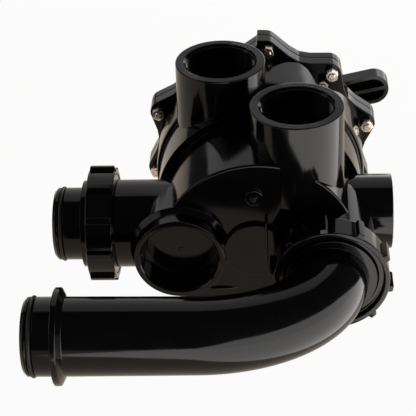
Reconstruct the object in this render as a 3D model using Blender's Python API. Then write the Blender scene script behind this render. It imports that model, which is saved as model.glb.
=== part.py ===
"""A side-mount multiport valve for a pool filter, modelled as the separate pieces it comes apart into.

All sizes are in metres. The layout is drawn about the selector axis: X to the right, Y along the selector
stem towards the handle, Z up along the threaded ports, with Y = 0 on the joint between body and cover.
A root empty then carries the whole valve to its mounting frame, whose origin is the centre of the upper
filter tail's end.
"""

import math

import bmesh
import bpy
from mathutils import Matrix, Vector

# Fits shared by every piece
SEAT_GAP = 0.0003           # between two pieces that touch
RUNNING_GAP = 0.0006        # round a piece that turns or slides
FINE_SEGMENTS = 40          # facets round the drum
PORT_SEGMENTS = 24          # facets round the ports, tails and nuts
SMALL_SEGMENTS = 16         # facets round the stem, pin and washers
SHARP_ANGLE = math.radians(32)
MERGE_DISTANCE = 0.000002   # points closer than this are one point
CUT_OVERRUN = 0.002         # how far a cutter runs past the face that it opens

# Drum, flange and cover
CHAMBER_RADIUS = 0.0815
COLLAR_RADIUS = 0.0906      # thick part of the drum, next to the flange
COLLAR_END_RADIUS = 0.0898
COLLAR_DEPTH = 0.0543       # joint face to where the collar starts to taper
COLLAR_TAPER = 0.005
DRUM_RADIUS = 0.0870
DRUM_STEP_DEPTH = 0.1048    # joint face to the end of the wide drum
DRUM_EDGE = 0.0013
CHAMBER_FLOOR = 0.005       # left between the chamber and the end of the wide drum
REAR_RADIUS = 0.0803
REAR_DRAFT = 0.0010
BODY_DEPTH = 0.1723         # joint face to the flat back
BACK_EDGE_ROUND = 0.002
BODY_FLANGE = 0.0115
COVER_FLANGE = 0.0097
EAR_RADIUS = 0.1045
EAR_FLAT_ANGLE = math.radians(2.3)
EAR_FOOT_RADIUS = 0.0937
EAR_FOOT_ANGLE = math.radians(12.0)
VALLEY_RADIUS = 0.0912
KEY_EAR_INDEX = 2           # the one larger ear, which shows how the cover goes on
KEY_EAR_RADIUS = 0.1055
KEY_EAR_START = math.radians(-1.0)
KEY_EAR_END = math.radians(5.3)
KEY_EAR_STEP = 0.005        # drop at the end of the key ear's crown
COVER_SEAL_SECTION = 0.0016

# Cover bolts, size M6
BOLT_COUNT = 10
BOLT_CIRCLE_RADIUS = 0.097
BOLT_PHASE = math.radians(13.5)
BOLT_RADIUS = 0.003
BOLT_HOLE_RADIUS = 0.0035
HEX_ACROSS_FLATS = 0.010
BOLT_HEAD_HEIGHT = 0.004
NUT_HEIGHT = 0.0078
BOLT_END = 0.0006           # bolt end showing past its nut

# Threaded ports, two-inch female pipe thread
PORT_RADIUS = 0.0375
PORT_FOOT_RADIUS = 0.0382
PORT_FOOT = 0.0573          # selector axis to where a port's full width begins
PORT_ROOT_RADIUS = 0.0229
PORT_ROOT = 0.0344          # selector axis to a port's blunt root inside the drum
PORT_BORE_RADIUS = 0.0286
PORT_BORE_DEPTH = 0.030
PORT_REACH = 0.1125         # selector axis to the port's end face
PORT_OFFSET = 0.0314        # sideways from the selector axis
PUMP_PORT_DEPTH = 0.0603    # joint face to the pump port's axis
RETURN_PORT_DEPTH = 0.1366  # joint face to the return and waste ports' axes
PORT_ROUND = 0.0012
CHANNEL_RADIUS = 0.026      # water way behind every connection
CHANNEL_FOOT = 0.0367       # selector axis to the blind end of a port's water way

# Filter connections, two-inch pipe
PIPE_RADIUS = 0.03015
PIPE_BORE_RADIUS = 0.0255
BRANCH_DEPTH = 0.1340       # joint face to the axis of the upper branch
BRANCH_RADIUS = 0.0364
BLANK_BRANCH_RADIUS = 0.0312
BLANK_BRANCH_DEPTH = 0.1190 # joint face to the axis of the closed branch
BLANK_BRANCH_REACH = 0.110
BLANK_SOCKET_RADIUS = 0.0242
BLANK_SOCKET_DEPTH = 0.022
REAR_CENTRE = -0.0032       # the back's own centre line, sideways from the selector axis
REAR_SPACING = 0.121        # between the two connections on the back
FRONT_SOCKET_RADIUS = 0.0367
FRONT_SOCKET_BORE = 0.0316
FRONT_SOCKET_DEPTH = 0.024
FRONT_SOCKET_TAPER = 0.0008
FRONT_CHANNEL_RADIUS = 0.0247
FRONT_SOCKET_REACH = 0.0155 # from the flat back to the socket's rim
FRONT_SOCKET_FLARE = 0.004
BLANK_DISC_RADIUS = 0.0279
BLANK_DISC_THICKNESS = 0.004

# Moulded details on the back
HUB_RADIUS = 0.025
HUB_HEIGHT = 0.004
WEB_THICKNESS = 0.0022
WEB_HEIGHT = 0.007
WEB_OFFSET = 0.0095
WEB_TOP = 0.029
WEB_FOOT = -0.036
GATE_RADIUS = 0.0072
GATE_HEIGHT = 0.0025
GATE_RISE = 0.0497

# Unions
UNION_NUT_LENGTH = 0.022
UNION_NUT_RADIUS = 0.0458
UNION_LUG_HEIGHT = 0.0034
UNION_LUG_WIDTH = 0.0065
UNION_LUG_TOP_WIDTH = 0.0052
UNION_LUG_ROOT = 0.0018     # how far a lug is sunk into the nut's wall
UNION_LUG_INSET = 0.0002    # from the nut's ends
UNION_LUG_COUNT = 10
UNION_THREAD_RADIUS = 0.0410
UNION_THREAD_LENGTH = 0.0090
UNION_LIP = 0.0032
UNION_COLLAR = 0.0038
UNION_NECK_RADIUS = 0.0360
UNION_SEAL_RADIUS = 0.0330
UNION_SEAL_SECTION = 0.0016
UPPER_NUT_REACH = 0.1183    # selector axis to the near end of the upper union nut
LOWER_NUT_REACH = 0.0243    # flat back to the near end of the lower union nut
UPPER_NUT_PHASE = math.radians(0.0)
LOWER_NUT_PHASE = math.radians(-10.0)
UPPER_NECK_END = 0.1456
UPPER_TAIL_END = 0.1694
TAIL_SEAL_SETBACK = 0.0067  # tail end to the middle of its O-ring groove
TAIL_GROOVE_WIDTH = 0.0042
TAIL_GROOVE_DEPTH = 0.0024
TAIL_SEAL_SECTION = 0.0016
TAIL_NOSE = 0.0025

# Elbow tube to the lower filter connection
ELBOW_OFFSET = 0.0671       # lower union nut's outer end to the tail's axis
ELBOW_BEND_WIDTH = 0.103    # how far the bend runs along the tail's direction
ELBOW_RADIUS = 0.0296
ELBOW_NECK_INSET = 0.003
ELBOW_TAIL_END = 0.1750
ELBOW_COLLAR_RADIUS = 0.0372
ELBOW_COLLAR_SETBACK = 0.0230
ELBOW_COLLAR_WIDTH = 0.0046
ELBOW_COLLAR_CONE = 0.0035
BEND_STEPS = 8

# Selector: diverter, stem, spring and handle
DIVERTER_CLEARANCE = 0.003  # rim to the chamber wall
DIVERTER_THICKNESS = 0.009
DIVERTER_DOME = 0.010
DIVERTER_DOME_INSET = 0.004 # rim to the dome
DIVERTER_WALL = 0.003
DIVERTER_FOOT_RADIUS = 0.025
DIVERTER_NECK_RADIUS = 0.0175
DIVERTER_NECK = 0.012       # from the narrow neck up to the spring's seat
POSITIONS = 6               # settings of the selector
SECTOR_ANGLE = 2 * math.pi / POSITIONS
SECTOR_INNER_RADIUS = 0.024
SECTOR_OUTER_RADIUS = 0.069
DOME_HALF_ANGLE = math.radians(54)
PASSAGE_HALF_ANGLE = math.radians(49)
WINDOW_HALF_ANGLE = math.radians(23)
WATERWAY_HALF_ANGLE = math.radians(21.5)
WATERWAY_INSET = 0.002      # from a sector's outer edge
GASKET_HEIGHT = 0.004
GASKET_PROUD = 0.0015
GASKET_WIDTH = 0.005
STEM_RADIUS = 0.0125
STEM_BORE_GAP = 0.0004
STEM_TOP = 0.0647
STEM_GROOVE_RADIUS = 0.0096
STEM_GROOVE_WIDTH = 0.0036
STEM_SEAL_SECTION = 0.00135
STEM_SEAL_HEIGHTS = (0.019, 0.028)
SPRING_SEAT_RISE = 0.046    # chamber floor to the spring's seat on the diverter
SPRING_SEAT_RADIUS = 0.027
SPRING_SEAT_THICKNESS = 0.005
SPRING_RADIUS = 0.019
SPRING_WIRE_RADIUS = 0.0016
SPRING_TURNS = 6
WASHER_THICKNESS = 0.0015
WASHER_RADIUS = 0.0245
COVER_WALL = 0.007          # chamber to the outside of the cover's dome
COVER_DRAFT = 0.001
COVER_LIP = 0.002           # straight stretch of the dome above the flange
COVER_CROWN = 0.012         # flange to the edge of the dome's top
COVER_SLOPE = 0.004
COVER_SLOPE_RADIUS = 0.061
COVER_SHOULDER_RADIUS = 0.041
COVER_ROOF = 0.010
COVER_GUIDE_LEVEL = 0.003   # lower end of the cover's stem guide
COVER_GUIDE_RADIUS = 0.024
COVER_HUB_TOP = 0.0407
COVER_HUB_HEIGHT = 0.010
COVER_HUB_RADIUS = 0.034
COVER_HUB_EDGE = 0.002
INDEX_NOTCH_WIDTH = 0.006
INDEX_NOTCH_DEPTH = 0.003
INDEX_NOTCH_GAP = 0.0008    # thrust washer's rim to the inner end of a notch
THRUST_WASHER_THICKNESS = 0.002
THRUST_WASHER_RADIUS = 0.030
PIN_LEVEL = 0.0547
PIN_RADIUS = 0.004
PIN_LENGTH = 0.046
HANDLE_ANGLE = math.radians(9.2)
HANDLE_LENGTH = 0.120       # pin to the round tip
HANDLE_TIP_RADIUS = 0.0144
HANDLE_HUB_RADIUS = 0.024
HANDLE_ROOT_HALF_WIDTH = 0.0136
HANDLE_ROOT = 0.012         # pin to the arm's root inside the hub
HANDLE_RISE = 0.013         # how much higher the tip sits than the root
HANDLE_DEPTH = 0.015
HANDLE_WALL = 0.0035
HANDLE_SLOT_SLACK = 0.0038  # room for the lever to tip on the stem

# Places worked out from the sizes above
BACK = -BODY_DEPTH
SOCKET_X = REAR_CENTRE - REAR_SPACING / 2
LOWER_X = REAR_CENTRE + REAR_SPACING / 2
SOCKET_RIM = BACK - FRONT_SOCKET_REACH
SOCKET_LEDGE = SOCKET_RIM + FRONT_SOCKET_DEPTH
UNION_FACE = UNION_THREAD_LENGTH
UPPER_FACE_X = -(UPPER_NUT_REACH + UNION_FACE)
LOWER_NUT_NEAR = BACK - LOWER_NUT_REACH
LOWER_NUT_FAR = LOWER_NUT_NEAR - UNION_NUT_LENGTH
LOWER_FACE_Y = LOWER_NUT_NEAR - UNION_FACE
ELBOW_TAIL_Y = LOWER_NUT_FAR - ELBOW_OFFSET
FLOOR = CHAMBER_FLOOR - DRUM_STEP_DEPTH
DIVERTER_FACE = FLOOR + GASKET_PROUD + SEAT_GAP
SPRING_SEAT_LEVEL = FLOOR + SPRING_SEAT_RISE
COVER_FACE = SEAT_GAP
WATERWAYS = (0.0, SECTOR_ANGLE, 3 * SECTOR_ANGLE, 4 * SECTOR_ANGLE)


def clear_scene():
    """Remove whatever the file held before."""
    for old in list(bpy.data.objects):
        bpy.data.objects.remove(old)


def make_material(name, colour, roughness, metallic=0.0):
    """Return a Principled material."""
    material = bpy.data.materials.new(name)
    material.use_nodes = True
    shader = material.node_tree.nodes["Principled BSDF"]
    shader.inputs["Base Color"].default_value = (*colour, 1.0)
    shader.inputs["Roughness"].default_value = roughness
    shader.inputs["Metallic"].default_value = metallic
    return material


def make_object(name, vertices, faces, at=(0, 0, 0)):
    """Return a mesh object with its faces turned outwards and its origin at a place."""
    mesh = bpy.data.meshes.new(name)
    mesh.from_pydata([tuple(v) for v in vertices], [], faces)
    shape = bmesh.new()
    shape.from_mesh(mesh)
    bmesh.ops.recalc_face_normals(shape, faces=shape.faces)
    shape.to_mesh(mesh)
    shape.free()
    piece = bpy.data.objects.new(name, mesh)
    piece.location = at
    bpy.context.scene.collection.objects.link(piece)
    return piece


def ring_point(axis, along, radius, angle):
    """Return a point on a circle about the X, Y or Z axis."""
    a = radius * math.cos(angle)
    b = radius * math.sin(angle)
    return {"X": Vector((along, a, b)), "Y": Vector((a, along, b)), "Z": Vector((a, b, along))}[axis]


def skin(name, rings, closed, at=(0, 0, 0)):
    """Join rings of points into a solid. A ring of one point is a pole; closed joins the last to the first."""
    vertices = [point for ring in rings for point in ring]
    starts = [sum(len(ring) for ring in rings[:i]) for i in range(len(rings))]
    pairs = list(zip(range(len(rings)), range(1, len(rings))))
    if closed:
        pairs.append((len(rings) - 1, 0))
    faces = []
    for i, j in pairs:
        count = max(len(rings[i]), len(rings[j]))
        for k in range(count):
            n = (k + 1) % count
            low = [starts[i] + (k if len(rings[i]) > 1 else 0), starts[i] + (n if len(rings[i]) > 1 else 0)]
            high = [starts[j] + (n if len(rings[j]) > 1 else 0), starts[j] + (k if len(rings[j]) > 1 else 0)]
            faces.append(list(dict.fromkeys(low + high)))
    return make_object(name, vertices, faces, at)


def lathe(name, axis, profile, segments, at=(0, 0, 0)):
    """Turn a profile of (along, radius) points. A profile that starts on the axis is solid, any other a ring."""
    rings = []
    for along, radius in profile:
        angles = [2 * math.pi * k / segments for k in range(segments)] if radius > 0 else [0.0]
        rings.append([ring_point(axis, along, radius, angle) for angle in angles])
    return skin(name, rings, closed=profile[0][1] > 0, at=at)


def rod(name, axis, start, end, radius, segments, at=(0, 0, 0)):
    """Return a plain round bar."""
    return lathe(name, axis, [(start, 0), (start, radius), (end, radius), (end, 0)], segments, at)


def torus(name, axis, ring_radius, section, segments, at=(0, 0, 0), sides=5):
    """Return an O-ring."""
    profile = []
    for k in range(sides):
        turn = 2 * math.pi * (k + 0.5) / sides
        profile.append((section * math.sin(turn), ring_radius + section * math.cos(turn)))
    return lathe(name, axis, profile, segments, at)


def prism(name, outline, low, high, at=(0, 0, 0)):
    """Extrude an outline of (x, z) points along Y."""
    rings = [[Vector((x, level, z)) for x, z in outline] for level in (low, high)]
    count = len(outline)
    faces = [[k, (k + 1) % count, (k + 1) % count + count, k + count] for k in range(count)]
    faces.append(list(range(count)))
    faces.append(list(range(count, 2 * count)))
    return make_object(name, rings[0] + rings[1], faces, at)


def combine(target, tool, operation):
    """Add a tool to a target, or cut it out, and remove the tool."""
    modifier = target.modifiers.new(operation, "BOOLEAN")
    modifier.operation = operation
    modifier.object = tool
    modifier.solver = "EXACT"
    bpy.context.view_layer.update()
    result = bpy.data.meshes.new_from_object(target.evaluated_get(bpy.context.evaluated_depsgraph_get()))
    target.modifiers.clear()
    target.data = result
    bpy.data.objects.remove(tool)
    merge_points(result)


def merge_points(mesh):
    """Close the hair-thin slits that a Boolean can leave, and turn the faces outwards."""
    shape = bmesh.new()
    shape.from_mesh(mesh)
    bmesh.ops.remove_doubles(shape, verts=shape.verts, dist=MERGE_DISTANCE)
    bmesh.ops.dissolve_degenerate(shape, edges=shape.edges, dist=MERGE_DISTANCE)
    bmesh.ops.recalc_face_normals(shape, faces=shape.faces)
    shape.to_mesh(mesh)
    shape.free()


def join(target, *tools):
    """Fuse moulded features into one piece."""
    for tool in tools:
        combine(target, tool, "UNION")


def cut(target, *tools):
    """Cut bores, windows and pockets."""
    for tool in tools:
        combine(target, tool, "DIFFERENCE")


def finish(piece, material, parent):
    """Give a piece its material, smooth shading up to a sharp angle and its parent."""
    piece.data.materials.clear()
    piece.data.materials.append(material)
    for face in piece.data.polygons:
        face.use_smooth = True
    piece.data.set_sharp_from_angle(angle=SHARP_ANGLE)
    piece.parent = parent
    return piece


def bolt_places():
    """Return the (x, z) place of each cover bolt."""
    turns = [BOLT_PHASE + 2 * math.pi * k / BOLT_COUNT for k in range(BOLT_COUNT)]
    return [(BOLT_CIRCLE_RADIUS * math.cos(turn), BOLT_CIRCLE_RADIUS * math.sin(turn)) for turn in turns]


def flange_outline():
    """Return the scalloped outline that body and cover share, with a straight-sided ear at each bolt."""
    pitch = 2 * math.pi / BOLT_COUNT
    points = []
    for k in range(BOLT_COUNT):
        crown = [(-EAR_FLAT_ANGLE, EAR_RADIUS), (EAR_FLAT_ANGLE, EAR_RADIUS)]
        if k == KEY_EAR_INDEX:
            crown = [(KEY_EAR_START, KEY_EAR_RADIUS), (KEY_EAR_END, KEY_EAR_RADIUS),
                     (KEY_EAR_END, KEY_EAR_RADIUS - KEY_EAR_STEP)]
        ear = [(-pitch / 2, VALLEY_RADIUS), (-EAR_FOOT_ANGLE, EAR_FOOT_RADIUS), *crown,
               (EAR_FOOT_ANGLE, EAR_FOOT_RADIUS)]
        for away, radius in ear:
            turn = BOLT_PHASE + pitch * k + away
            points.append((radius * math.cos(turn), radius * math.sin(turn)))
    return points


def bolt_holes(low, high):
    """Return one cutter for all ten bolt holes."""
    holes = None
    for x, z in bolt_places():
        hole = rod("bolt_hole", "Y", low, high, BOLT_HOLE_RADIUS, SMALL_SEGMENTS // 2, (x, 0, z))
        if holes is None:
            holes = hole
        else:
            join(holes, hole)
    return holes


def sector(name, middle, half_angle, inner, outer, low, high):
    """Return a pie-shaped block about the selector axis."""
    steps = 6
    turns = [middle - half_angle + 2 * half_angle * k / steps for k in range(steps + 1)]
    outline = [(inner * math.cos(t), inner * math.sin(t)) for t in turns]
    outline += [(outer * math.cos(t), outer * math.sin(t)) for t in reversed(turns)]
    return prism(name, outline, low, high)


def spider(name, low, high, margin):
    """Return the spoked gasket's shape, grown by a margin so that the same shape cuts its groove."""
    half = GASKET_WIDTH / 2 + margin
    rim = SECTOR_OUTER_RADIUS + GASKET_WIDTH
    eye = SECTOR_INNER_RADIUS - GASKET_WIDTH
    shape = lathe(name, "Y", [(low, rim - half), (low, rim + half), (high, rim + half), (high, rim - half)],
                  PORT_SEGMENTS)
    hub = lathe("hub", "Y", [(low, eye - half), (low, eye + half), (high, eye + half), (high, eye - half)],
                SMALL_SEGMENTS)
    join(shape, *[spoke(k, eye, rim, half, low, high) for k in range(POSITIONS)])
    join(shape, hub)
    return shape


def spoke(k, inner, outer, half, low, high):
    """Return one straight spoke of the gasket, between two waterways."""
    turn = SECTOR_ANGLE * (k + 0.5)
    along = Vector((math.cos(turn), math.sin(turn)))
    side = Vector((-along.y, along.x)) * half
    corners = [along * inner + side, along * inner - side, along * outer - side, along * outer + side]
    return prism("spoke", [tuple(corner) for corner in corners], low, high)


def port_tube(name, x, depth, direction):
    """Return the outside of a threaded port, drawn in to a blunt foot inside the drum."""
    end = PORT_REACH * direction
    root = PORT_ROOT * direction
    profile = [(root, 0), (root, PORT_ROOT_RADIUS), (PORT_FOOT * direction, PORT_FOOT_RADIUS),
               (end - PORT_ROUND * direction, PORT_RADIUS), (end, PORT_RADIUS - PORT_ROUND), (end, 0)]
    return lathe(name, "Z", profile, PORT_SEGMENTS, (x, -depth, 0))


def port_bore(name, x, depth, direction, foot):
    """Return the threaded mouth and the water way behind it."""
    end = PORT_REACH * direction
    neck = (PORT_REACH - PORT_BORE_DEPTH) * direction
    over = CUT_OVERRUN * direction
    profile = [(foot * direction, 0), (foot * direction, CHANNEL_RADIUS), (neck, CHANNEL_RADIUS),
               (neck, PORT_BORE_RADIUS), (end + over, PORT_BORE_RADIUS), (end + over, 0)]
    return lathe(name, "Z", profile, PORT_SEGMENTS, (x, -depth, 0))


def valve_body():
    """Mould the body: drum, flange, three threaded ports, two branches and two connections on the back."""
    rear = REAR_RADIUS - REAR_DRAFT
    collar_end = -COLLAR_DEPTH - COLLAR_TAPER
    body = lathe("valve_body", "Y", [
        (-BODY_FLANGE / 2, 0), (-BODY_FLANGE / 2, COLLAR_RADIUS), (-COLLAR_DEPTH, COLLAR_RADIUS),
        (collar_end, COLLAR_END_RADIUS), (collar_end, DRUM_RADIUS), (DRUM_EDGE - DRUM_STEP_DEPTH, DRUM_RADIUS),
        (-DRUM_STEP_DEPTH, DRUM_RADIUS - DRUM_EDGE), (-DRUM_STEP_DEPTH, REAR_RADIUS),
        (BACK + BACK_EDGE_ROUND, rear), (BACK, rear - BACK_EDGE_ROUND), (BACK, 0)], FINE_SEGMENTS)
    join(body, prism("flange", flange_outline(), -BODY_FLANGE, 0))
    thread_start = UPPER_NUT_REACH + RUNNING_GAP
    join(body, lathe("upper_branch", "X", [
        (-REAR_RADIUS / 2, 0), (-REAR_RADIUS / 2, BRANCH_RADIUS), (-thread_start, BRANCH_RADIUS),
        (-thread_start, UNION_THREAD_RADIUS), (UPPER_FACE_X, UNION_THREAD_RADIUS), (UPPER_FACE_X, 0)],
        PORT_SEGMENTS, (0, -BRANCH_DEPTH, 0)))
    join(body, lathe("blank_branch", "X", [
        (REAR_RADIUS / 2, 0), (REAR_RADIUS / 2, BLANK_BRANCH_RADIUS),
        (BLANK_BRANCH_REACH - PORT_ROUND, BLANK_BRANCH_RADIUS),
        (BLANK_BRANCH_REACH, BLANK_BRANCH_RADIUS - PORT_ROUND), (BLANK_BRANCH_REACH, 0)],
        PORT_SEGMENTS, (0, -BLANK_BRANCH_DEPTH, 0)))
    join(body, lathe("front_socket", "Y", [
        (-BRANCH_DEPTH, 0), (-BRANCH_DEPTH, FRONT_SOCKET_RADIUS + FRONT_SOCKET_FLARE / 4),
        (BACK, FRONT_SOCKET_RADIUS + FRONT_SOCKET_FLARE), (BACK - FRONT_SOCKET_FLARE, FRONT_SOCKET_RADIUS),
        (SOCKET_RIM, FRONT_SOCKET_RADIUS), (SOCKET_RIM, 0)], PORT_SEGMENTS, (SOCKET_X, 0, 0)))
    lower_thread = LOWER_NUT_NEAR - RUNNING_GAP
    dome = BRANCH_RADIUS * math.sin(math.pi / 4)
    join(body, lathe("lower_branch", "Y", [
        (-BRANCH_DEPTH + BRANCH_RADIUS, 0), (-BRANCH_DEPTH + dome, dome), (-BRANCH_DEPTH, BRANCH_RADIUS),
        (lower_thread, BRANCH_RADIUS), (lower_thread, UNION_THREAD_RADIUS),
        (LOWER_FACE_Y, UNION_THREAD_RADIUS), (LOWER_FACE_Y, 0)], PORT_SEGMENTS, (LOWER_X, 0, 0)))
    join(body, port_tube("pump_port", -PORT_OFFSET, PUMP_PORT_DEPTH, 1),
         port_tube("return_port", PORT_OFFSET, RETURN_PORT_DEPTH, 1),
         port_tube("waste_port", -PORT_OFFSET, RETURN_PORT_DEPTH, -1))
    join(body, rod("hub", "Y", BACK - HUB_HEIGHT, BACK + HUB_HEIGHT, HUB_RADIUS, PORT_SEGMENTS,
                   (REAR_CENTRE, 0, 0)))
    web_x = REAR_CENTRE + WEB_OFFSET
    join(body, prism("web", [(web_x - WEB_THICKNESS / 2, WEB_FOOT), (web_x + WEB_THICKNESS / 2, WEB_FOOT),
                             (web_x + WEB_THICKNESS / 2, WEB_TOP), (web_x - WEB_THICKNESS / 2, WEB_TOP)],
                     BACK - WEB_HEIGHT, BACK + WEB_HEIGHT))
    join(body, rod("gate", "Y", BACK - GATE_HEIGHT, BACK + GATE_HEIGHT, GATE_RADIUS, SMALL_SEGMENTS,
                   (REAR_CENTRE, 0, GATE_RISE)))
    cut_body(body)
    return body


def cut_body(body):
    """Hollow the body: chamber, waterways, port bores, sockets, seal grooves and bolt holes."""
    over = CUT_OVERRUN
    cut(body, rod("chamber", "Y", FLOOR, over, CHAMBER_RADIUS, FINE_SEGMENTS))
    for middle in WATERWAYS:
        cut(body, sector("waterway", middle, WATERWAY_HALF_ANGLE, SECTOR_INNER_RADIUS,
                         SECTOR_OUTER_RADIUS - WATERWAY_INSET, -BRANCH_DEPTH, FLOOR + over))
    cut(body, port_bore("pump_bore", -PORT_OFFSET, PUMP_PORT_DEPTH, 1, CHAMBER_RADIUS / 2))
    cut(body, port_bore("return_bore", PORT_OFFSET, RETURN_PORT_DEPTH, 1, CHANNEL_FOOT))
    cut(body, port_bore("waste_bore", -PORT_OFFSET, RETURN_PORT_DEPTH, -1, CHANNEL_FOOT))
    cut(body, rod("upper_bore", "X", UPPER_FACE_X - over, SOCKET_X, CHANNEL_RADIUS, PORT_SEGMENTS,
                  (0, -BRANCH_DEPTH, 0)))
    disc_seat = SOCKET_LEDGE + BLANK_DISC_THICKNESS + SEAT_GAP
    disc_bore = BLANK_DISC_RADIUS + SEAT_GAP
    cut(body, lathe("socket_bore", "Y", [
        (SOCKET_RIM - over, 0), (SOCKET_RIM - over, FRONT_SOCKET_BORE),
        (SOCKET_LEDGE, FRONT_SOCKET_BORE - FRONT_SOCKET_TAPER), (SOCKET_LEDGE, disc_bore), (disc_seat, disc_bore),
        (disc_seat, FRONT_CHANNEL_RADIUS), (-BRANCH_DEPTH, FRONT_CHANNEL_RADIUS), (-BRANCH_DEPTH, 0)],
        PORT_SEGMENTS, (SOCKET_X, 0, 0)))
    cut(body, rod("lower_bore", "Y", LOWER_FACE_Y - over, -BRANCH_DEPTH + CHANNEL_RADIUS / 2, CHANNEL_RADIUS,
                  PORT_SEGMENTS, (LOWER_X, 0, 0)))
    cut(body, rod("blank_socket", "X", BLANK_BRANCH_REACH - BLANK_SOCKET_DEPTH, BLANK_BRANCH_REACH + over,
                  BLANK_SOCKET_RADIUS, PORT_SEGMENTS, (0, -BLANK_BRANCH_DEPTH, 0)))
    cut(body, seal_groove("upper_groove", "X", -1, (UPPER_FACE_X, -BRANCH_DEPTH, 0)))
    cut(body, seal_groove("lower_groove", "Y", -1, (LOWER_X, LOWER_FACE_Y, 0)))
    cut(body, spider("gasket_groove", FLOOR - GASKET_HEIGHT + GASKET_PROUD - SEAT_GAP, FLOOR + over, SEAT_GAP))
    inner, outer, depth = cover_groove()
    cut(body, lathe("cover_groove", "Y", [(-depth, inner), (-depth, outer), (over, outer), (over, inner)],
                    FINE_SEGMENTS))
    cut(body, bolt_holes(-BODY_FLANGE - over, over))


def cover_groove():
    """Return the inner radius, outer radius and depth of the cover seal's groove, in the middle of the wall."""
    middle = (CHAMBER_RADIUS + VALLEY_RADIUS) / 2
    half = COVER_SEAL_SECTION + SEAT_GAP
    return middle - half, middle + half, 2 * half - SEAT_GAP


def seal_groove(name, axis, outwards, at):
    """Return the cutter for a union's face seal, open towards the tail."""
    half = UNION_SEAL_SECTION + SEAT_GAP
    depth = 2 * half - SEAT_GAP
    low, high = sorted((-outwards * depth, outwards * CUT_OVERRUN))
    inner = UNION_SEAL_RADIUS - half
    outer = UNION_SEAL_RADIUS + half
    return lathe(name, axis, [(low, inner), (low, outer), (high, outer), (high, inner)], PORT_SEGMENTS, at)


def union_seal(name, axis, outwards, at):
    """Return the O-ring that lies in a union's face groove."""
    seal = torus(name, axis, UNION_SEAL_RADIUS, UNION_SEAL_SECTION, PORT_SEGMENTS)
    shift = Vector(at)
    shift["XYZ".index(axis)] -= outwards * UNION_SEAL_SECTION
    seal.location = shift
    return seal


def union_nut(name, axis, near, at, phase):
    """Return a lugged union nut that runs from its thread end, at near, towards the tail."""
    far = near - UNION_NUT_LENGTH
    thread = UNION_THREAD_RADIUS + RUNNING_GAP
    lip_near = near - UNION_FACE - UNION_COLLAR - 2 * SEAT_GAP
    lip_far = lip_near - UNION_LIP
    eye = UNION_NECK_RADIUS + RUNNING_GAP
    edge = PORT_ROUND
    nut = lathe(name, axis, [
        (near, thread), (near, UNION_NUT_RADIUS - edge), (near - edge, UNION_NUT_RADIUS),
        (far + edge, UNION_NUT_RADIUS), (far, UNION_NUT_RADIUS - edge), (far, thread),
        (lip_far, thread), (lip_far, eye), (lip_near, eye), (lip_near, thread)], PORT_SEGMENTS, at)
    for k in range(UNION_LUG_COUNT):
        join(nut, union_lug(axis, phase + 2 * math.pi * k / UNION_LUG_COUNT, near, far, at))
    return nut


def union_lug(axis, turn, near, far, at):
    """Return one straight grip lug with sloped ends, sunk into the nut's wall."""
    root = UNION_NUT_RADIUS - UNION_LUG_ROOT
    top = UNION_NUT_RADIUS + UNION_LUG_HEIGHT
    slope = PORT_ROUND
    section = [(near - UNION_LUG_INSET, root, UNION_LUG_WIDTH), (near - slope, top, UNION_LUG_TOP_WIDTH),
               (far + slope, top, UNION_LUG_TOP_WIDTH), (far + UNION_LUG_INSET, root, UNION_LUG_WIDTH)]
    points = []
    for side in (-1, 1):
        for along, radius, width in section:
            middle = ring_point(axis, along, radius, turn)
            points.append(middle + ring_point(axis, 0, side * width / 2, turn + math.pi / 2))
    faces = [[0, 1, 2, 3], [4, 5, 6, 7]] + [[i, (i + 1) % 4, (i + 1) % 4 + 4, i + 4] for i in range(4)]
    return make_object("lug", points, faces, at)


def tail_profile(end, bore):
    """Return the outside of a tail from its O-ring groove to its nose, for an end on the -X side."""
    groove = -end + TAIL_SEAL_SETBACK
    half = TAIL_GROOVE_WIDTH / 2
    floor = PIPE_RADIUS - TAIL_GROOVE_DEPTH
    return [(groove + half, PIPE_RADIUS), (groove + half, floor), (groove - half, floor),
            (groove - half, PIPE_RADIUS), (-end + TAIL_NOSE, PIPE_RADIUS), (-end, PIPE_RADIUS - TAIL_NOSE),
            (-end, bore)]


def tail_seal(name, end, y):
    """Return the O-ring in a tail's groove."""
    ring_radius = PIPE_RADIUS - TAIL_GROOVE_DEPTH + SEAT_GAP + TAIL_SEAL_SECTION
    return torus(name, "X", ring_radius, TAIL_SEAL_SECTION, PORT_SEGMENTS, (-end + TAIL_SEAL_SETBACK, y, 0))


def upper_tailpiece():
    """Turn the straight tail that the upper union nut holds."""
    collar_near = UPPER_FACE_X - SEAT_GAP
    collar_far = collar_near - UNION_COLLAR
    neck = -UPPER_NECK_END
    profile = [(collar_near, PIPE_BORE_RADIUS), (collar_near, UNION_THREAD_RADIUS),
               (collar_far, UNION_THREAD_RADIUS), (collar_far, UNION_NECK_RADIUS),
               (neck + PORT_ROUND, UNION_NECK_RADIUS), (neck, UNION_NECK_RADIUS - PORT_ROUND), (neck, PIPE_RADIUS)]
    return lathe("upper_tailpiece", "X", profile + tail_profile(UPPER_TAIL_END, PIPE_BORE_RADIUS), PORT_SEGMENTS,
                 (0, -BRANCH_DEPTH, 0))


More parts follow.
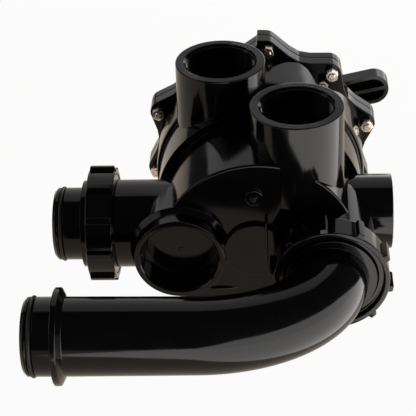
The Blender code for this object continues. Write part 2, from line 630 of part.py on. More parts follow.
def elbow_tube():
    """Sweep the elbow: out of the lower union along -Y, round the bend, then along -X to its tail."""
    collar_near = LOWER_FACE_Y - SEAT_GAP
    collar_far = collar_near - UNION_COLLAR
    neck = LOWER_NUT_FAR + ELBOW_NECK_INSET
    outside = [(collar_near, UNION_THREAD_RADIUS), (collar_far, UNION_THREAD_RADIUS),
               (collar_far, UNION_NECK_RADIUS), (neck, UNION_NECK_RADIUS), (neck, ELBOW_RADIUS)]
    rings = [elbow_ring(LOWER_X, y, 0.0, radius) for y, radius in outside]
    rings += [bend_ring(k, collar_far, ELBOW_RADIUS) for k in range(1, BEND_STEPS + 1)]
    collar = -ELBOW_TAIL_END + ELBOW_COLLAR_SETBACK
    straight = [(collar + ELBOW_COLLAR_WIDTH + ELBOW_COLLAR_CONE, PIPE_RADIUS),
                (collar + ELBOW_COLLAR_WIDTH, ELBOW_COLLAR_RADIUS), (collar, ELBOW_COLLAR_RADIUS),
                (collar, PIPE_RADIUS)] + tail_profile(ELBOW_TAIL_END, PIPE_BORE_RADIUS)
    rings += [elbow_ring(x, ELBOW_TAIL_Y, math.pi / 2, radius) for x, radius in straight]
    rings += [bend_ring(k, collar_far, PIPE_BORE_RADIUS) for k in range(BEND_STEPS, 0, -1)]
    rings.append(elbow_ring(LOWER_X, collar_near, 0.0, PIPE_BORE_RADIUS))
    tube = skin("elbow_tube", rings, closed=True)
    tube.data.transform(Matrix.Translation((-LOWER_X, -collar_near, 0)))
    tube.location = (LOWER_X, collar_near, 0)
    return tube


def elbow_ring(x, y, turn, radius):
    """Return a ring across the elbow's path, which runs along -Y at turn 0 and along -X at a right angle."""
    across = Vector((math.cos(turn), -math.sin(turn), 0))
    ring = []
    for k in range(PORT_SEGMENTS):
        angle = 2 * math.pi * k / PORT_SEGMENTS
        ring.append(Vector((x, y, 0)) + radius * (math.cos(angle) * across + math.sin(angle) * Vector((0, 0, 1))))
    return ring


def bend_ring(k, start, radius):
    """Return one ring round the bend, a quarter of an oval that starts along -Y and ends along -X."""
    turn = math.pi / 2 * k / BEND_STEPS
    depth = start - ELBOW_TAIL_Y
    x = LOWER_X - ELBOW_BEND_WIDTH * (1 - math.cos(turn))
    y = start - depth * math.sin(turn)
    heading = math.atan2(ELBOW_BEND_WIDTH * math.sin(turn), depth * math.cos(turn))
    return elbow_ring(x, y, heading, radius)


def valve_cover():
    """Mould the cover: scalloped flange, shallow dome, stem guide and indexed hub."""
    over = CUT_OVERRUN
    top = COVER_FACE + COVER_FLANGE
    foot = COVER_FACE + COVER_FLANGE / 2
    rim = CHAMBER_RADIUS + COVER_WALL
    shoulder = COVER_HUB_TOP - COVER_HUB_HEIGHT
    cover = lathe("valve_cover", "Y", [
        (foot, 0), (foot, rim), (top + COVER_LIP, rim), (top + COVER_CROWN, CHAMBER_RADIUS),
        (shoulder - COVER_SLOPE, COVER_SLOPE_RADIUS), (shoulder, COVER_SHOULDER_RADIUS),
        (COVER_HUB_TOP - COVER_HUB_EDGE, COVER_HUB_RADIUS), (COVER_HUB_TOP, COVER_HUB_RADIUS - COVER_HUB_EDGE),
        (COVER_HUB_TOP, 0)], FINE_SEGMENTS)
    join(cover, prism("flange", flange_outline(), COVER_FACE, top))
    roof = shoulder - COVER_ROOF
    inside = CHAMBER_RADIUS - COVER_DRAFT
    cut(cover, lathe("dome", "Y", [
        (COVER_FACE - over, 0), (COVER_FACE - over, inside), (top + COVER_LIP, inside - 2 * COVER_DRAFT),
        (roof - COVER_SLOPE, COVER_SLOPE_RADIUS - 3 * COVER_DRAFT), (roof, COVER_GUIDE_RADIUS),
        (COVER_GUIDE_LEVEL, COVER_GUIDE_RADIUS), (COVER_GUIDE_LEVEL, 0)], FINE_SEGMENTS))
    cut(cover, rod("stem_bore", "Y", 0, COVER_HUB_TOP + over, STEM_RADIUS + STEM_BORE_GAP, SMALL_SEGMENTS))
    cut(cover, bolt_holes(-over, top + over))
    for k in range(POSITIONS):
        cut(cover, index_notch(HANDLE_ANGLE + SECTOR_ANGLE * k))
    return cover


def index_notch(turn):
    """Return the cutter for one of the six index notches in the rim of the cover's hub."""
    along = Vector((math.cos(turn), math.sin(turn)))
    side = Vector((-along.y, along.x)) * INDEX_NOTCH_WIDTH / 2
    inner = along * (THRUST_WASHER_RADIUS + INDEX_NOTCH_GAP)
    outer = along * (COVER_HUB_RADIUS + CUT_OVERRUN)
    corners = [inner + side, inner - side, outer - side, outer + side]
    return prism("notch", [tuple(corner) for corner in corners], COVER_HUB_TOP - INDEX_NOTCH_DEPTH,
                 COVER_HUB_TOP + CUT_OVERRUN)


def diverter():
    """Mould the diverter: ported disc with a domed passage, hub, spring seat and stem."""
    rim = CHAMBER_RADIUS - DIVERTER_CLEARANCE
    face = DIVERTER_FACE
    disc_top = face + DIVERTER_THICKNESS
    seat = SPRING_SEAT_LEVEL
    dome_top = disc_top + DIVERTER_DOME
    profile = [(face, 0), (face, rim), (disc_top, rim), (disc_top, DIVERTER_FOOT_RADIUS),
               (seat - DIVERTER_NECK, DIVERTER_NECK_RADIUS), (seat - SPRING_SEAT_THICKNESS, SPRING_SEAT_RADIUS),
               (seat, SPRING_SEAT_RADIUS), (seat, STEM_RADIUS)]
    half = STEM_GROOVE_WIDTH / 2
    for level in STEM_SEAL_HEIGHTS:
        profile += [(level - half, STEM_RADIUS), (level - half, STEM_GROOVE_RADIUS),
                    (level + half, STEM_GROOVE_RADIUS), (level + half, STEM_RADIUS)]
    profile += [(STEM_TOP - PORT_ROUND, STEM_RADIUS), (STEM_TOP, STEM_RADIUS - PORT_ROUND), (STEM_TOP, 0)]
    piece = lathe("diverter", "Y", profile, PORT_SEGMENTS)
    passage = SECTOR_ANGLE / 2
    join(piece, sector("dome", passage, DOME_HALF_ANGLE, SECTOR_INNER_RADIUS - DIVERTER_WALL,
                       rim - DIVERTER_DOME_INSET, disc_top - DIVERTER_WALL, dome_top))
    cut(piece, sector("passage", passage, PASSAGE_HALF_ANGLE, SECTOR_INNER_RADIUS, SECTOR_OUTER_RADIUS,
                      face - CUT_OVERRUN, dome_top - DIVERTER_WALL))
    cut(piece, sector("window", SECTOR_ANGLE * 3, WINDOW_HALF_ANGLE, SECTOR_INNER_RADIUS + DIVERTER_WALL,
                      SECTOR_OUTER_RADIUS, face - CUT_OVERRUN, disc_top + CUT_OVERRUN))
    cut(piece, across_bar("pin_hole", PIN_RADIUS + RUNNING_GAP, 2 * (STEM_RADIUS + CUT_OVERRUN)))
    return piece


def across_bar(name, radius, length):
    """Return a bar on the handle's hinge axis, which crosses the stem at right angles to the handle."""
    bar = rod(name, "X", -length / 2, length / 2, radius, SMALL_SEGMENTS - 4)
    bar.data.transform(Matrix.Rotation(-(HANDLE_ANGLE + math.pi / 2), 4, "Y"))
    bar.location = (0, PIN_LEVEL, 0)
    return bar


def ring_washer(name, low, thickness, inner, outer):
    """Return a flat washer about the stem."""
    profile = [(low, inner), (low, outer), (low + thickness, outer), (low + thickness, inner)]
    return lathe(name, "Y", profile, SMALL_SEGMENTS)


def diverter_spring():
    """Wind the compression spring between its two washers and print its least gap between turns."""
    low = SPRING_SEAT_LEVEL + WASHER_THICKNESS + 2 * SEAT_GAP + SPRING_WIRE_RADIUS
    high = COVER_GUIDE_LEVEL - WASHER_THICKNESS - 2 * SEAT_GAP - SPRING_WIRE_RADIUS
    per_turn = 8
    curve = bpy.data.curves.new("diverter_spring", "CURVE")
    curve.dimensions = "3D"
    curve.bevel_depth = SPRING_WIRE_RADIUS
    curve.bevel_resolution = 1
    curve.use_fill_caps = True
    line = curve.splines.new("POLY")
    line.points.add(SPRING_TURNS * per_turn)
    for k, point in enumerate(line.points):
        turn = 2 * math.pi * k / per_turn
        level = low + (high - low) * k / (SPRING_TURNS * per_turn)
        point.co = (SPRING_RADIUS * math.cos(turn), level, SPRING_RADIUS * math.sin(turn), 1)
    print("least gap between spring turns:", round((high - low) / SPRING_TURNS - 2 * SPRING_WIRE_RADIUS, 4))
    wire = bpy.data.objects.new("spring_wire", curve)
    bpy.context.scene.collection.objects.link(wire)
    bpy.context.view_layer.update()
    mesh = bpy.data.meshes.new_from_object(wire.evaluated_get(bpy.context.evaluated_depsgraph_get()))
    bpy.data.objects.remove(wire)
    merge_points(mesh)
    spring = bpy.data.objects.new("diverter_spring", mesh)
    bpy.context.scene.collection.objects.link(spring)
    return spring


def handle_outline(margin):
    """Return the lever's plan, from its root to its round tip, drawn in by a margin."""
    tip = HANDLE_LENGTH - HANDLE_TIP_RADIUS
    root = HANDLE_ROOT
    outline = [(root + margin, -HANDLE_ROOT_HALF_WIDTH + margin)]
    for k in range(11):
        turn = -math.pi / 2 + math.pi * k / 10
        radius = HANDLE_TIP_RADIUS - margin
        outline.append((tip + radius * math.cos(turn), radius * math.sin(turn)))
    outline.append((root + margin, HANDLE_ROOT_HALF_WIDTH - margin))
    return outline


def slot_outline(slack, radius):
    """Return a slot with round ends, so that the lever can tip on the stem."""
    steps = SMALL_SEGMENTS // 2
    outline = []
    for side in (1, -1):
        for k in range(steps + 1):
            turn = math.pi * (k / steps - 0.5)
            outline.append((side * (slack + radius * math.cos(turn)), side * radius * math.sin(turn)))
    return outline


def handle_block(name, outline, low, high):
    """Return a lever-shaped block whose floor and top climb towards the tip; x is along the lever, y is up."""
    slope = HANDLE_RISE / HANDLE_LENGTH
    rings = [[Vector((x, level + slope * x, z)) for x, z in outline] for level in (low, high)]
    count = len(outline)
    faces = [[k, (k + 1) % count, (k + 1) % count + count, k + count] for k in range(count)]
    faces.append(list(range(count)))
    faces.append(list(range(count, 2 * count)))
    return make_object(name, rings[0] + rings[1], faces)


def handle():
    """Mould the lever: hub with a stem slot, hollow arm with a wall, a roof and one middle rib."""
    floor = COVER_HUB_TOP + THRUST_WASHER_THICKNESS + 2 * SEAT_GAP - PIN_LEVEL
    roof = floor + HANDLE_DEPTH + HANDLE_WALL
    arm_floor = floor + HANDLE_WALL
    lever = handle_block("handle", handle_outline(0), arm_floor, roof)
    join(lever, rod("hub", "Y", floor, roof + HANDLE_WALL / 2, HANDLE_HUB_RADIUS, SMALL_SEGMENTS * 2))
    hollow = handle_outline(HANDLE_WALL)
    tip = HANDLE_LENGTH - HANDLE_TIP_RADIUS
    start = HANDLE_HUB_RADIUS + HANDLE_WALL
    slope = (HANDLE_TIP_RADIUS - HANDLE_ROOT_HALF_WIDTH) / (tip - HANDLE_ROOT)
    for side in (-1, 1):
        near = (HANDLE_ROOT_HALF_WIDTH - HANDLE_WALL + slope * (start - HANDLE_ROOT)) * side
        rib = HANDLE_WALL / 2 * side
        half = [(x, z) for x, z in hollow[1:-1] if z * side > HANDLE_WALL / 2]
        pocket = [(start, rib), (start, near)] + (half if side < 0 else half[::-1])
        pocket.append((HANDLE_LENGTH - HANDLE_WALL - SEAT_GAP, rib))
        cut(lever, handle_block("pocket", pocket, arm_floor - CUT_OVERRUN, roof - HANDLE_WALL))
    cut(lever, prism("stem_slot", slot_outline(HANDLE_SLOT_SLACK, STEM_RADIUS + RUNNING_GAP),
                     floor - CUT_OVERRUN, roof + HANDLE_WALL + CUT_OVERRUN))
    lever.data.transform(Matrix.Rotation(-HANDLE_ANGLE, 4, "Y"))
    lever.location = (0, PIN_LEVEL, 0)
    cut(lever, across_bar("pin_hole", PIN_RADIUS + RUNNING_GAP, 2 * (HANDLE_HUB_RADIUS + CUT_OVERRUN)))
    return lever


def hex_bar(name, low, high, at):
    """Return a six-sided block along Y."""
    corner = HEX_ACROSS_FLATS / math.sqrt(3)
    outline = [(corner * math.cos(math.pi * k / 3), corner * math.sin(math.pi * k / 3)) for k in range(6)]
    return prism(name, outline, low, high, at)


def cover_bolt(k, x, z):
    """Return one hex bolt, its head on the cover and its end past the nut."""
    head = COVER_FACE + COVER_FLANGE + SEAT_GAP
    bolt = hex_bar(f"cover_bolt_{k + 1:02d}", head, head + BOLT_HEAD_HEIGHT, (x, 0, z))
    end = -BODY_FLANGE - SEAT_GAP - NUT_HEIGHT - BOLT_END
    join(bolt, rod("shank", "Y", end, head + BOLT_HEAD_HEIGHT / 2, BOLT_RADIUS, SMALL_SEGMENTS // 2, (x, 0, z)))
    return bolt


def cover_nut(k, x, z):
    """Return one hex nut behind the body's flange."""
    low = -BODY_FLANGE - SEAT_GAP - NUT_HEIGHT
    nut = hex_bar(f"cover_nut_{k + 1:02d}", low, low + NUT_HEIGHT, (x, 0, z))
    cut(nut, rod("nut_hole", "Y", low - CUT_OVERRUN, low + NUT_HEIGHT + CUT_OVERRUN, BOLT_RADIUS + SEAT_GAP,
                 SMALL_SEGMENTS // 2, (x, 0, z)))
    return nut


def build():
    """Make every piece, give it its material and hang it on the valve's mounting frame."""
    clear_scene()
    plastic = make_material("black_plastic", (0.006, 0.006, 0.007), 0.12)
    rubber = make_material("black_rubber", (0.012, 0.012, 0.012), 0.45)
    steel = make_material("stainless_steel", (0.60, 0.57, 0.52), 0.28, 1.0)
    frame = bpy.data.objects.new("valve_frame", None)
    bpy.context.scene.collection.objects.link(frame)

    seal_y = -(COVER_SEAL_SECTION + SEAT_GAP / 2)
    inner, outer, _ = cover_groove()
    seat = SPRING_SEAT_LEVEL + SEAT_GAP
    upper_washer = COVER_GUIDE_LEVEL - SEAT_GAP - WASHER_THICKNESS
    stem_hole = STEM_RADIUS + RUNNING_GAP
    seal_radius = STEM_GROOVE_RADIUS + SEAT_GAP + STEM_SEAL_SECTION

    plastics = [
        valve_body(), valve_cover(), diverter(), handle(), upper_tailpiece(), elbow_tube(),
        union_nut("upper_union_nut", "X", -UPPER_NUT_REACH, (0, -BRANCH_DEPTH, 0), UPPER_NUT_PHASE),
        union_nut("lower_union_nut", "Y", LOWER_NUT_NEAR, (LOWER_X, 0, 0), LOWER_NUT_PHASE),
        rod("port_blanking_disc", "Y", SOCKET_LEDGE, SOCKET_LEDGE + BLANK_DISC_THICKNESS, BLANK_DISC_RADIUS,
            PORT_SEGMENTS, (SOCKET_X, 0, 0)),
        ring_washer("handle_washer", COVER_HUB_TOP + SEAT_GAP, THRUST_WASHER_THICKNESS, stem_hole,
                    THRUST_WASHER_RADIUS),
    ]
    rubbers = [
        torus("cover_o_ring", "Y", (inner + outer) / 2, COVER_SEAL_SECTION, FINE_SEGMENTS, (0, seal_y, 0)),
        spider("diverter_gasket", FLOOR + GASKET_PROUD - GASKET_HEIGHT, FLOOR + GASKET_PROUD, 0),
        union_seal("upper_union_o_ring", "X", -1, (UPPER_FACE_X, -BRANCH_DEPTH, 0)),
        union_seal("lower_union_o_ring", "Y", -1, (LOWER_X, LOWER_FACE_Y, 0)),
        tail_seal("upper_tail_o_ring", UPPER_TAIL_END, -BRANCH_DEPTH),
        tail_seal("elbow_tail_o_ring", ELBOW_TAIL_END, ELBOW_TAIL_Y),
    ]
    for name, level in zip(("stem_o_ring_lower", "stem_o_ring_upper"), STEM_SEAL_HEIGHTS):
        rubbers.append(torus(name, "Y", seal_radius, STEM_SEAL_SECTION, SMALL_SEGMENTS, (0, level, 0)))
    steels = [
        diverter_spring(), across_bar("handle_pin", PIN_RADIUS, PIN_LENGTH),
        ring_washer("spring_washer_lower", seat, WASHER_THICKNESS, stem_hole, WASHER_RADIUS),
        ring_washer("spring_washer_upper", upper_washer, WASHER_THICKNESS, stem_hole, WASHER_RADIUS),
    ]
    for k, (x, z) in enumerate(bolt_places()):
        steels += [cover_bolt(k, x, z), cover_nut(k, x, z)]

    for pieces, material in ((plastics, plastic), (rubbers, rubber), (steels, steel)):
        for piece in pieces:
            finish(piece, material, frame)
    frame.location = (UPPER_TAIL_END, BRANCH_DEPTH, 0)
    bpy.context.view_layer.update()


build()
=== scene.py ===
"""Studio view of the side-mount multiport valve.

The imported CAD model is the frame. The mouldings and fasteners that show are built again here on the CAD
model's own sizes, with round edges, threads and moulding marks, and every piece gets a procedural material.
Lengths are in metres. Shapes are drawn about the selector axis, with Y = 0 on the joint between body and
cover, and are then moved to the frame's origin, the end of the upper filter tail.
"""

import math

import bmesh
import bpy
from mathutils import Matrix, Vector, noise


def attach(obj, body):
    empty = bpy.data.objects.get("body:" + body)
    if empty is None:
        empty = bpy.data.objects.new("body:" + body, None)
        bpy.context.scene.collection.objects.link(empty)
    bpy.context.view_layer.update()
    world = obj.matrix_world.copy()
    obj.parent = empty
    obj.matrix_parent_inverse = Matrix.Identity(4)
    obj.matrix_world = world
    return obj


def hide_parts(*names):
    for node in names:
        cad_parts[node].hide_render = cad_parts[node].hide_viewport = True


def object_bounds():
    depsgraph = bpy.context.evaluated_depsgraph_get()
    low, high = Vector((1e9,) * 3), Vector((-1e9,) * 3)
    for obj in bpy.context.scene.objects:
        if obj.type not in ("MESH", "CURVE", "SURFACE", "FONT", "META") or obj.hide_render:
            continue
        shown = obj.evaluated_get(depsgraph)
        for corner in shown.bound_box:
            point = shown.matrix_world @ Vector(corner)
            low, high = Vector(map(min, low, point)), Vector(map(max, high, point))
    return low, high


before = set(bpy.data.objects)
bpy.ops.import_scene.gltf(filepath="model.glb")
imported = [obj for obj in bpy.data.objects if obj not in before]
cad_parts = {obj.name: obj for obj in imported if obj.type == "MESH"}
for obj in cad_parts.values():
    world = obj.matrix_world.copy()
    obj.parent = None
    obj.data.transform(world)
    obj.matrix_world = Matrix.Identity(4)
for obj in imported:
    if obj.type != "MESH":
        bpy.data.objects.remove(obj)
cad_low, cad_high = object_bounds()

# Fits and mesh fineness
SEAT_GAP = 0.0003
RUNNING_GAP = 0.0006
DRUM_SEGMENTS = 128
PORT_SEGMENTS = 96
SMALL_SEGMENTS = 32
FILLET_STEPS = 4
DOME_STEPS = 8
FILLET_SHARE = 0.45                 # most of a side that a round takes
STRAIGHT_TURN = math.radians(14)    # a profile turns less than this without a corner
STEEP_TURN = math.radians(60)
SHARP_ANGLE = math.radians(32)
MERGE_DISTANCE = 0.000002
CUT_OVERRUN = 0.002
MOULD_EDGE = 0.0010                 # usual round on a moulded edge

# Drum, flange and cover
CHAMBER_RADIUS = 0.0815
COLLAR_RADIUS = 0.0906
COLLAR_END_RADIUS = 0.0898
COLLAR_DEPTH = 0.0543
COLLAR_TAPER = 0.005
DRUM_RADIUS = 0.0870
DRUM_STEP_DEPTH = 0.1048
DRUM_EDGE = 0.0013
CHAMBER_FLOOR = 0.005
REAR_RADIUS = 0.0803
REAR_DRAFT = 0.0010
BODY_DEPTH = 0.1723
BACK_EDGE_ROUND = 0.002
BODY_FLANGE = 0.0115
COVER_FLANGE = 0.0097
EAR_RADIUS = 0.1045
EAR_FLAT_ANGLE = math.radians(2.3)
EAR_FOOT_RADIUS = 0.0937
EAR_FOOT_ANGLE = math.radians(12.0)
EAR_ROUND = 0.010
VALLEY_RADIUS = 0.0912
KEY_EAR_INDEX = 2
KEY_EAR_RADIUS = 0.1055
KEY_EAR_START = math.radians(-1.0)
KEY_EAR_END = math.radians(5.3)
KEY_EAR_STEP = 0.005
COVER_WALL = 0.007
COVER_DRAFT = 0.001
COVER_LIP = 0.002
COVER_CROWN = 0.012
COVER_SLOPE = 0.004
COVER_SLOPE_RADIUS = 0.061
COVER_SHOULDER_RADIUS = 0.041
COVER_ROOF = 0.010
COVER_GUIDE_LEVEL = 0.003
COVER_GUIDE_RADIUS = 0.024
COVER_HUB_TOP = 0.0407
COVER_HUB_HEIGHT = 0.010
COVER_HUB_RADIUS = 0.034
COVER_HUB_EDGE = 0.002
INDEX_COUNT = 6
INDEX_NOTCH_WIDTH = 0.006
INDEX_NOTCH_DEPTH = 0.003
INDEX_NOTCH_GAP = 0.0008
THRUST_WASHER_RADIUS = 0.030
THRUST_WASHER_THICKNESS = 0.002

# Cover bolts and nuts, size M6
BOLT_COUNT = 10
BOLT_CIRCLE_RADIUS = 0.097
BOLT_PHASE = math.radians(13.5)
BOLT_RADIUS = 0.003
BOLT_PITCH = 0.001
BOLT_HOLE_RADIUS = 0.0035
HEX_ACROSS_FLATS = 0.010
BOLT_HEAD_HEIGHT = 0.004
NUT_HEIGHT = 0.0078
BOLT_END = 0.0006
BOLT_SPIN = math.radians(37)        # each bolt and nut stops a little further round than the last

# Threaded ports
PORT_RADIUS = 0.0375
PORT_FOOT_RADIUS = 0.0382
PORT_BORE_RADIUS = 0.0286
PORT_BORE_DEPTH = 0.030
PORT_REACH = 0.1125
PORT_OFFSET = 0.0314
PUMP_PORT_DEPTH = 0.0603
RETURN_PORT_DEPTH = 0.1366
PORT_ROUND = 0.0012
PORT_CHAMFER = 0.0022
RIM_RINGS = 3
RIM_RING_INSET = 0.00252
RIM_RING_PITCH = 0.0018
RIM_RING_WIDTH = 0.0006
RIM_RING_DEPTH = 0.0004
PORT_PITCH = 0.0022
PORT_THREAD_DEPTH = 0.0012
THREAD_HALF_WIDTH = 0.45            # of a ridge, as a share of its pitch
CHANNEL_RADIUS = 0.026

# Filter connections and branches
PIPE_RADIUS = 0.03015
PIPE_BORE_RADIUS = 0.0255
BRANCH_DEPTH = 0.1340
BRANCH_RADIUS = 0.0364
BLANK_BRANCH_RADIUS = 0.0312
BLANK_BRANCH_DEPTH = 0.1190
BLANK_BRANCH_REACH = 0.110
BLANK_SOCKET_RADIUS = 0.0242
BLANK_SOCKET_DEPTH = 0.022
REAR_CENTRE = -0.0032
REAR_SPACING = 0.121
FRONT_SOCKET_RADIUS = 0.0367
FRONT_SOCKET_BORE = 0.0316
FRONT_SOCKET_DEPTH = 0.024
FRONT_SOCKET_REACH = 0.0155
FRONT_SOCKET_FLARE = 0.004
BLANK_DISC_RADIUS = 0.0279
BLANK_DISC_THICKNESS = 0.004
HUB_RADIUS = 0.025
HUB_HEIGHT = 0.004
WEB_THICKNESS = 0.0022
WEB_HEIGHT = 0.007
WEB_OFFSET = 0.0095
WEB_TOP = 0.029
WEB_FOOT = -0.036
GATE_RADIUS = 0.0072
GATE_HEIGHT = 0.0025
GATE_RISE = 0.0497
STUB_RAGGEDNESS = 600

# Unions, tails and elbow
UNION_NUT_LENGTH = 0.022
UNION_NUT_RADIUS = 0.0458
UNION_LUG_HEIGHT = 0.0034
UNION_LUG_WIDTH = 0.0065
UNION_LUG_TOP_WIDTH = 0.0052
UNION_LUG_ROOT = 0.0018
UNION_LUG_COUNT = 10
UNION_THREAD_RADIUS = 0.0410
UNION_FACE = 0.0090
UNION_LIP = 0.0032
UNION_COLLAR = 0.0038
UNION_NECK_RADIUS = 0.0360
UPPER_NUT_REACH = 0.1183
LOWER_NUT_REACH = 0.0243
UPPER_NUT_PHASE = math.radians(0.0)
LOWER_NUT_PHASE = math.radians(-10.0)
UPPER_NECK_END = 0.1456
UPPER_TAIL_END = 0.1694
TAIL_SEAL_SETBACK = 0.0067
TAIL_GROOVE_WIDTH = 0.0042
TAIL_GROOVE_DEPTH = 0.0024
TAIL_SEAL_SECTION = 0.0016
TAIL_NOSE = 0.0025
ELBOW_OFFSET = 0.0671
ELBOW_BEND_WIDTH = 0.103
ELBOW_RADIUS = 0.0296
ELBOW_NECK_INSET = 0.003
ELBOW_TAIL_END = 0.1750
ELBOW_COLLAR_RADIUS = 0.0372
ELBOW_COLLAR_SETBACK = 0.0230
ELBOW_COLLAR_WIDTH = 0.0046
ELBOW_COLLAR_CONE = 0.0035
BEND_STEPS = 40

# Selector pieces that show
STEM_RADIUS = 0.0125
STEM_BORE_GAP = 0.0004
PIN_LEVEL = 0.0547
PIN_RADIUS = 0.004
HANDLE_ANGLE = math.radians(9.2)
HANDLE_LENGTH = 0.120
HANDLE_TIP_RADIUS = 0.0144
HANDLE_HUB_RADIUS = 0.024
HANDLE_ROOT_HALF_WIDTH = 0.0136
HANDLE_ROOT = 0.012
HANDLE_RISE = 0.013
HANDLE_DEPTH = 0.015
HANDLE_WALL = 0.0035
HANDLE_SLOT_SLACK = 0.0038

# Camera, worked out from the photograph
CAMERA_PLACE = Vector((0.1902, -1.0344, 0.6992))
CAMERA_FALL = math.radians(33.46)
CAMERA_HEADING = math.radians(-3.49)
CAMERA_ROLL = math.radians(-2.47)
FOCAL_PIXELS = 1500
FRAME_PIXELS = 416

# Floor and light, where a glow of 1 looks white
FLOOR_HALF_WIDTH = 4.0
FLOOR_COLOUR = (0.90, 0.86, 0.80, 1.0)
FLOOR_TINT = (1.0, 0.85, 0.70, 1.0)     # how the floor looks in a mirror
FLOOR_WHITE_SEEN = 0.95
FLOOR_WHITE_MIRRORED = 0.55
WHITE = (1.0, 1.0, 1.0, 1.0)
ROOM_GLOW = 0.05
# Name, degrees from straight behind towards the right, degrees up, distance, width, height and glow
SOFT_BOXES = (
    ("rear_soft_box", -2, 36, 1.2, 1.35, 1.7, 0.65),
    ("right_strip", 22, 5, 1.0, 0.8, 0.55, 1.5),
    ("left_soft_box", -100, 25, 1.0, 0.9, 0.7, 0.9),
)
FRONT_BOX_TURN = 130
FRONT_BOX_DISTANCE = 0.5
FRONT_BOX_LEVEL = 0.19
FRONT_BOX_TILT = 1.7                    # rise of the box's aim for each unit towards the object
FRONT_BOX_WIDTH = 1.1
FRONT_BOX_HEIGHT = 0.7
FRONT_BOX_GLOW = 3.0

# Places worked out from the sizes above
ORIGIN = Vector((UPPER_TAIL_END, BRANCH_DEPTH, 0))
BACK = -BODY_DEPTH
FLOOR = CHAMBER_FLOOR - DRUM_STEP_DEPTH
SOCKET_X = REAR_CENTRE - REAR_SPACING / 2
LOWER_X = REAR_CENTRE + REAR_SPACING / 2
SOCKET_RIM = BACK - FRONT_SOCKET_REACH
SOCKET_LEDGE = SOCKET_RIM + FRONT_SOCKET_DEPTH
UPPER_FACE_X = -(UPPER_NUT_REACH + UNION_FACE)
LOWER_NUT_NEAR = BACK - LOWER_NUT_REACH
LOWER_NUT_FAR = LOWER_NUT_NEAR - UNION_NUT_LENGTH
LOWER_FACE_Y = LOWER_NUT_NEAR - UNION_FACE
ELBOW_TAIL_Y = LOWER_NUT_FAR - ELBOW_OFFSET
COVER_FACE = SEAT_GAP


# Mesh tools

def make_piece(name, vertices, faces):
    """Return a mesh object with its faces turned outwards."""
    mesh = bpy.data.meshes.new(name)
    mesh.from_pydata([tuple(v) for v in vertices], [], faces)
    piece = bpy.data.objects.new(name, mesh)
    bpy.context.scene.collection.objects.link(piece)
    clean(mesh)
    return piece


def clean(mesh):
    """Merge doubled points and turn the faces outwards."""
    shape = bmesh.new()
    shape.from_mesh(mesh)
    bmesh.ops.remove_doubles(shape, verts=shape.verts, dist=MERGE_DISTANCE)
    bmesh.ops.dissolve_degenerate(shape, edges=shape.edges, dist=MERGE_DISTANCE)
    bmesh.ops.recalc_face_normals(shape, faces=shape.faces)
    shape.to_mesh(mesh)
    shape.free()


def round_edges(piece, width, chosen, steps=3):
    """Round the edges that a test picks."""
    shape = bmesh.new()
    shape.from_mesh(piece.data)
    edges = [edge for edge in shape.edges if chosen(edge)]
    bmesh.ops.bevel(shape, geom=edges, offset=width, segments=steps, profile=0.5, affect="EDGES",
                    clamp_overlap=True)
    shape.to_mesh(piece.data)
    shape.free()
    return piece


def on_level(edge):
    """True for an edge that lies across the Y axis, such as the rim of a plate."""
    first, second = edge.verts
    return abs(first.co.y - second.co.y) < MERGE_DISTANCE and edge.calc_face_angle(0) > SHARP_ANGLE


def is_sharp(edge):
    """True for an edge between two faces that meet at a clear angle."""
    return edge.calc_face_angle(0) > SHARP_ANGLE


def ring_point(axis, along, radius, angle):
    """Return a point on a circle about the X, Y or Z axis."""
    a = radius * math.cos(angle)
    b = radius * math.sin(angle)
    return {"X": Vector((along, a, b)), "Y": Vector((a, along, b)), "Z": Vector((a, b, along))}[axis]


def skin(name, rings, closed):
    """Join rings of points into a solid. A ring of one point is a pole; closed joins last to first."""
    vertices = [point for ring in rings for point in ring]
    starts = [0]
    for ring in rings:
        starts.append(starts[-1] + len(ring))
    pairs = list(zip(range(len(rings)), range(1, len(rings))))
    if closed:
        pairs.append((len(rings) - 1, 0))
    faces = []
    for i, j in pairs:
        count = max(len(rings[i]), len(rings[j]))
        for k in range(count):
            n = (k + 1) % count
            low = [starts[i] + k % len(rings[i]), starts[i] + n % len(rings[i])]
            high = [starts[j] + n % len(rings[j]), starts[j] + k % len(rings[j])]
            faces.append(list(dict.fromkeys(low + high)))
    return make_piece(name, vertices, faces)


def fillet(profile, radius, closed=False, tight=None):
    """Round a profile's corners, steep ones by the tight radius. An open profile's ends stay sharp."""
    rounded = []
    for k, point in enumerate(profile):
        corner = Vector(point)
        before = Vector(profile[k - 1]) - corner
        after = Vector(profile[(k + 1) % len(profile)]) - corner
        is_end = not closed and k in (0, len(profile) - 1)
        turn = 0.0 if is_end else math.pi - before.angle(after)
        if turn < STRAIGHT_TURN:
            rounded.append(tuple(point))
            continue
        bend = tight if tight and turn > STEEP_TURN else radius
        reach = min(bend * math.tan(turn / 2), FILLET_SHARE * before.length, FILLET_SHARE * after.length)
        start = corner + before.normalized() * reach
        end = corner + after.normalized() * reach
        for step in range(FILLET_STEPS + 1):
            t = step / FILLET_STEPS
            rounded.append(tuple((1 - t) ** 2 * start + 2 * t * (1 - t) * corner + t * t * end))
    return rounded


def lathe(name, axis, profile, segments, at=(0, 0, 0), edge=0.0):
    """Turn a profile of (along, radius) points. One that starts on the axis is solid, any other a ring."""
    ring = profile[0][1] > 0
    if edge:
        profile = fillet(profile, edge, closed=ring)
    rings = []
    for along, radius in profile:
        count = segments if radius > 0 else 1
        circle = [ring_point(axis, along, radius, 2 * math.pi * k / segments) for k in range(count)]
        rings.append([Vector(at) + point for point in circle])
    return skin(name, rings, closed=ring)


def rod(name, axis, start, end, radius, segments, at=(0, 0, 0), edge=0.0):
    """Return a round bar."""
    return lathe(name, axis, [(start, 0), (start, radius), (end, radius), (end, 0)], segments, at, edge)


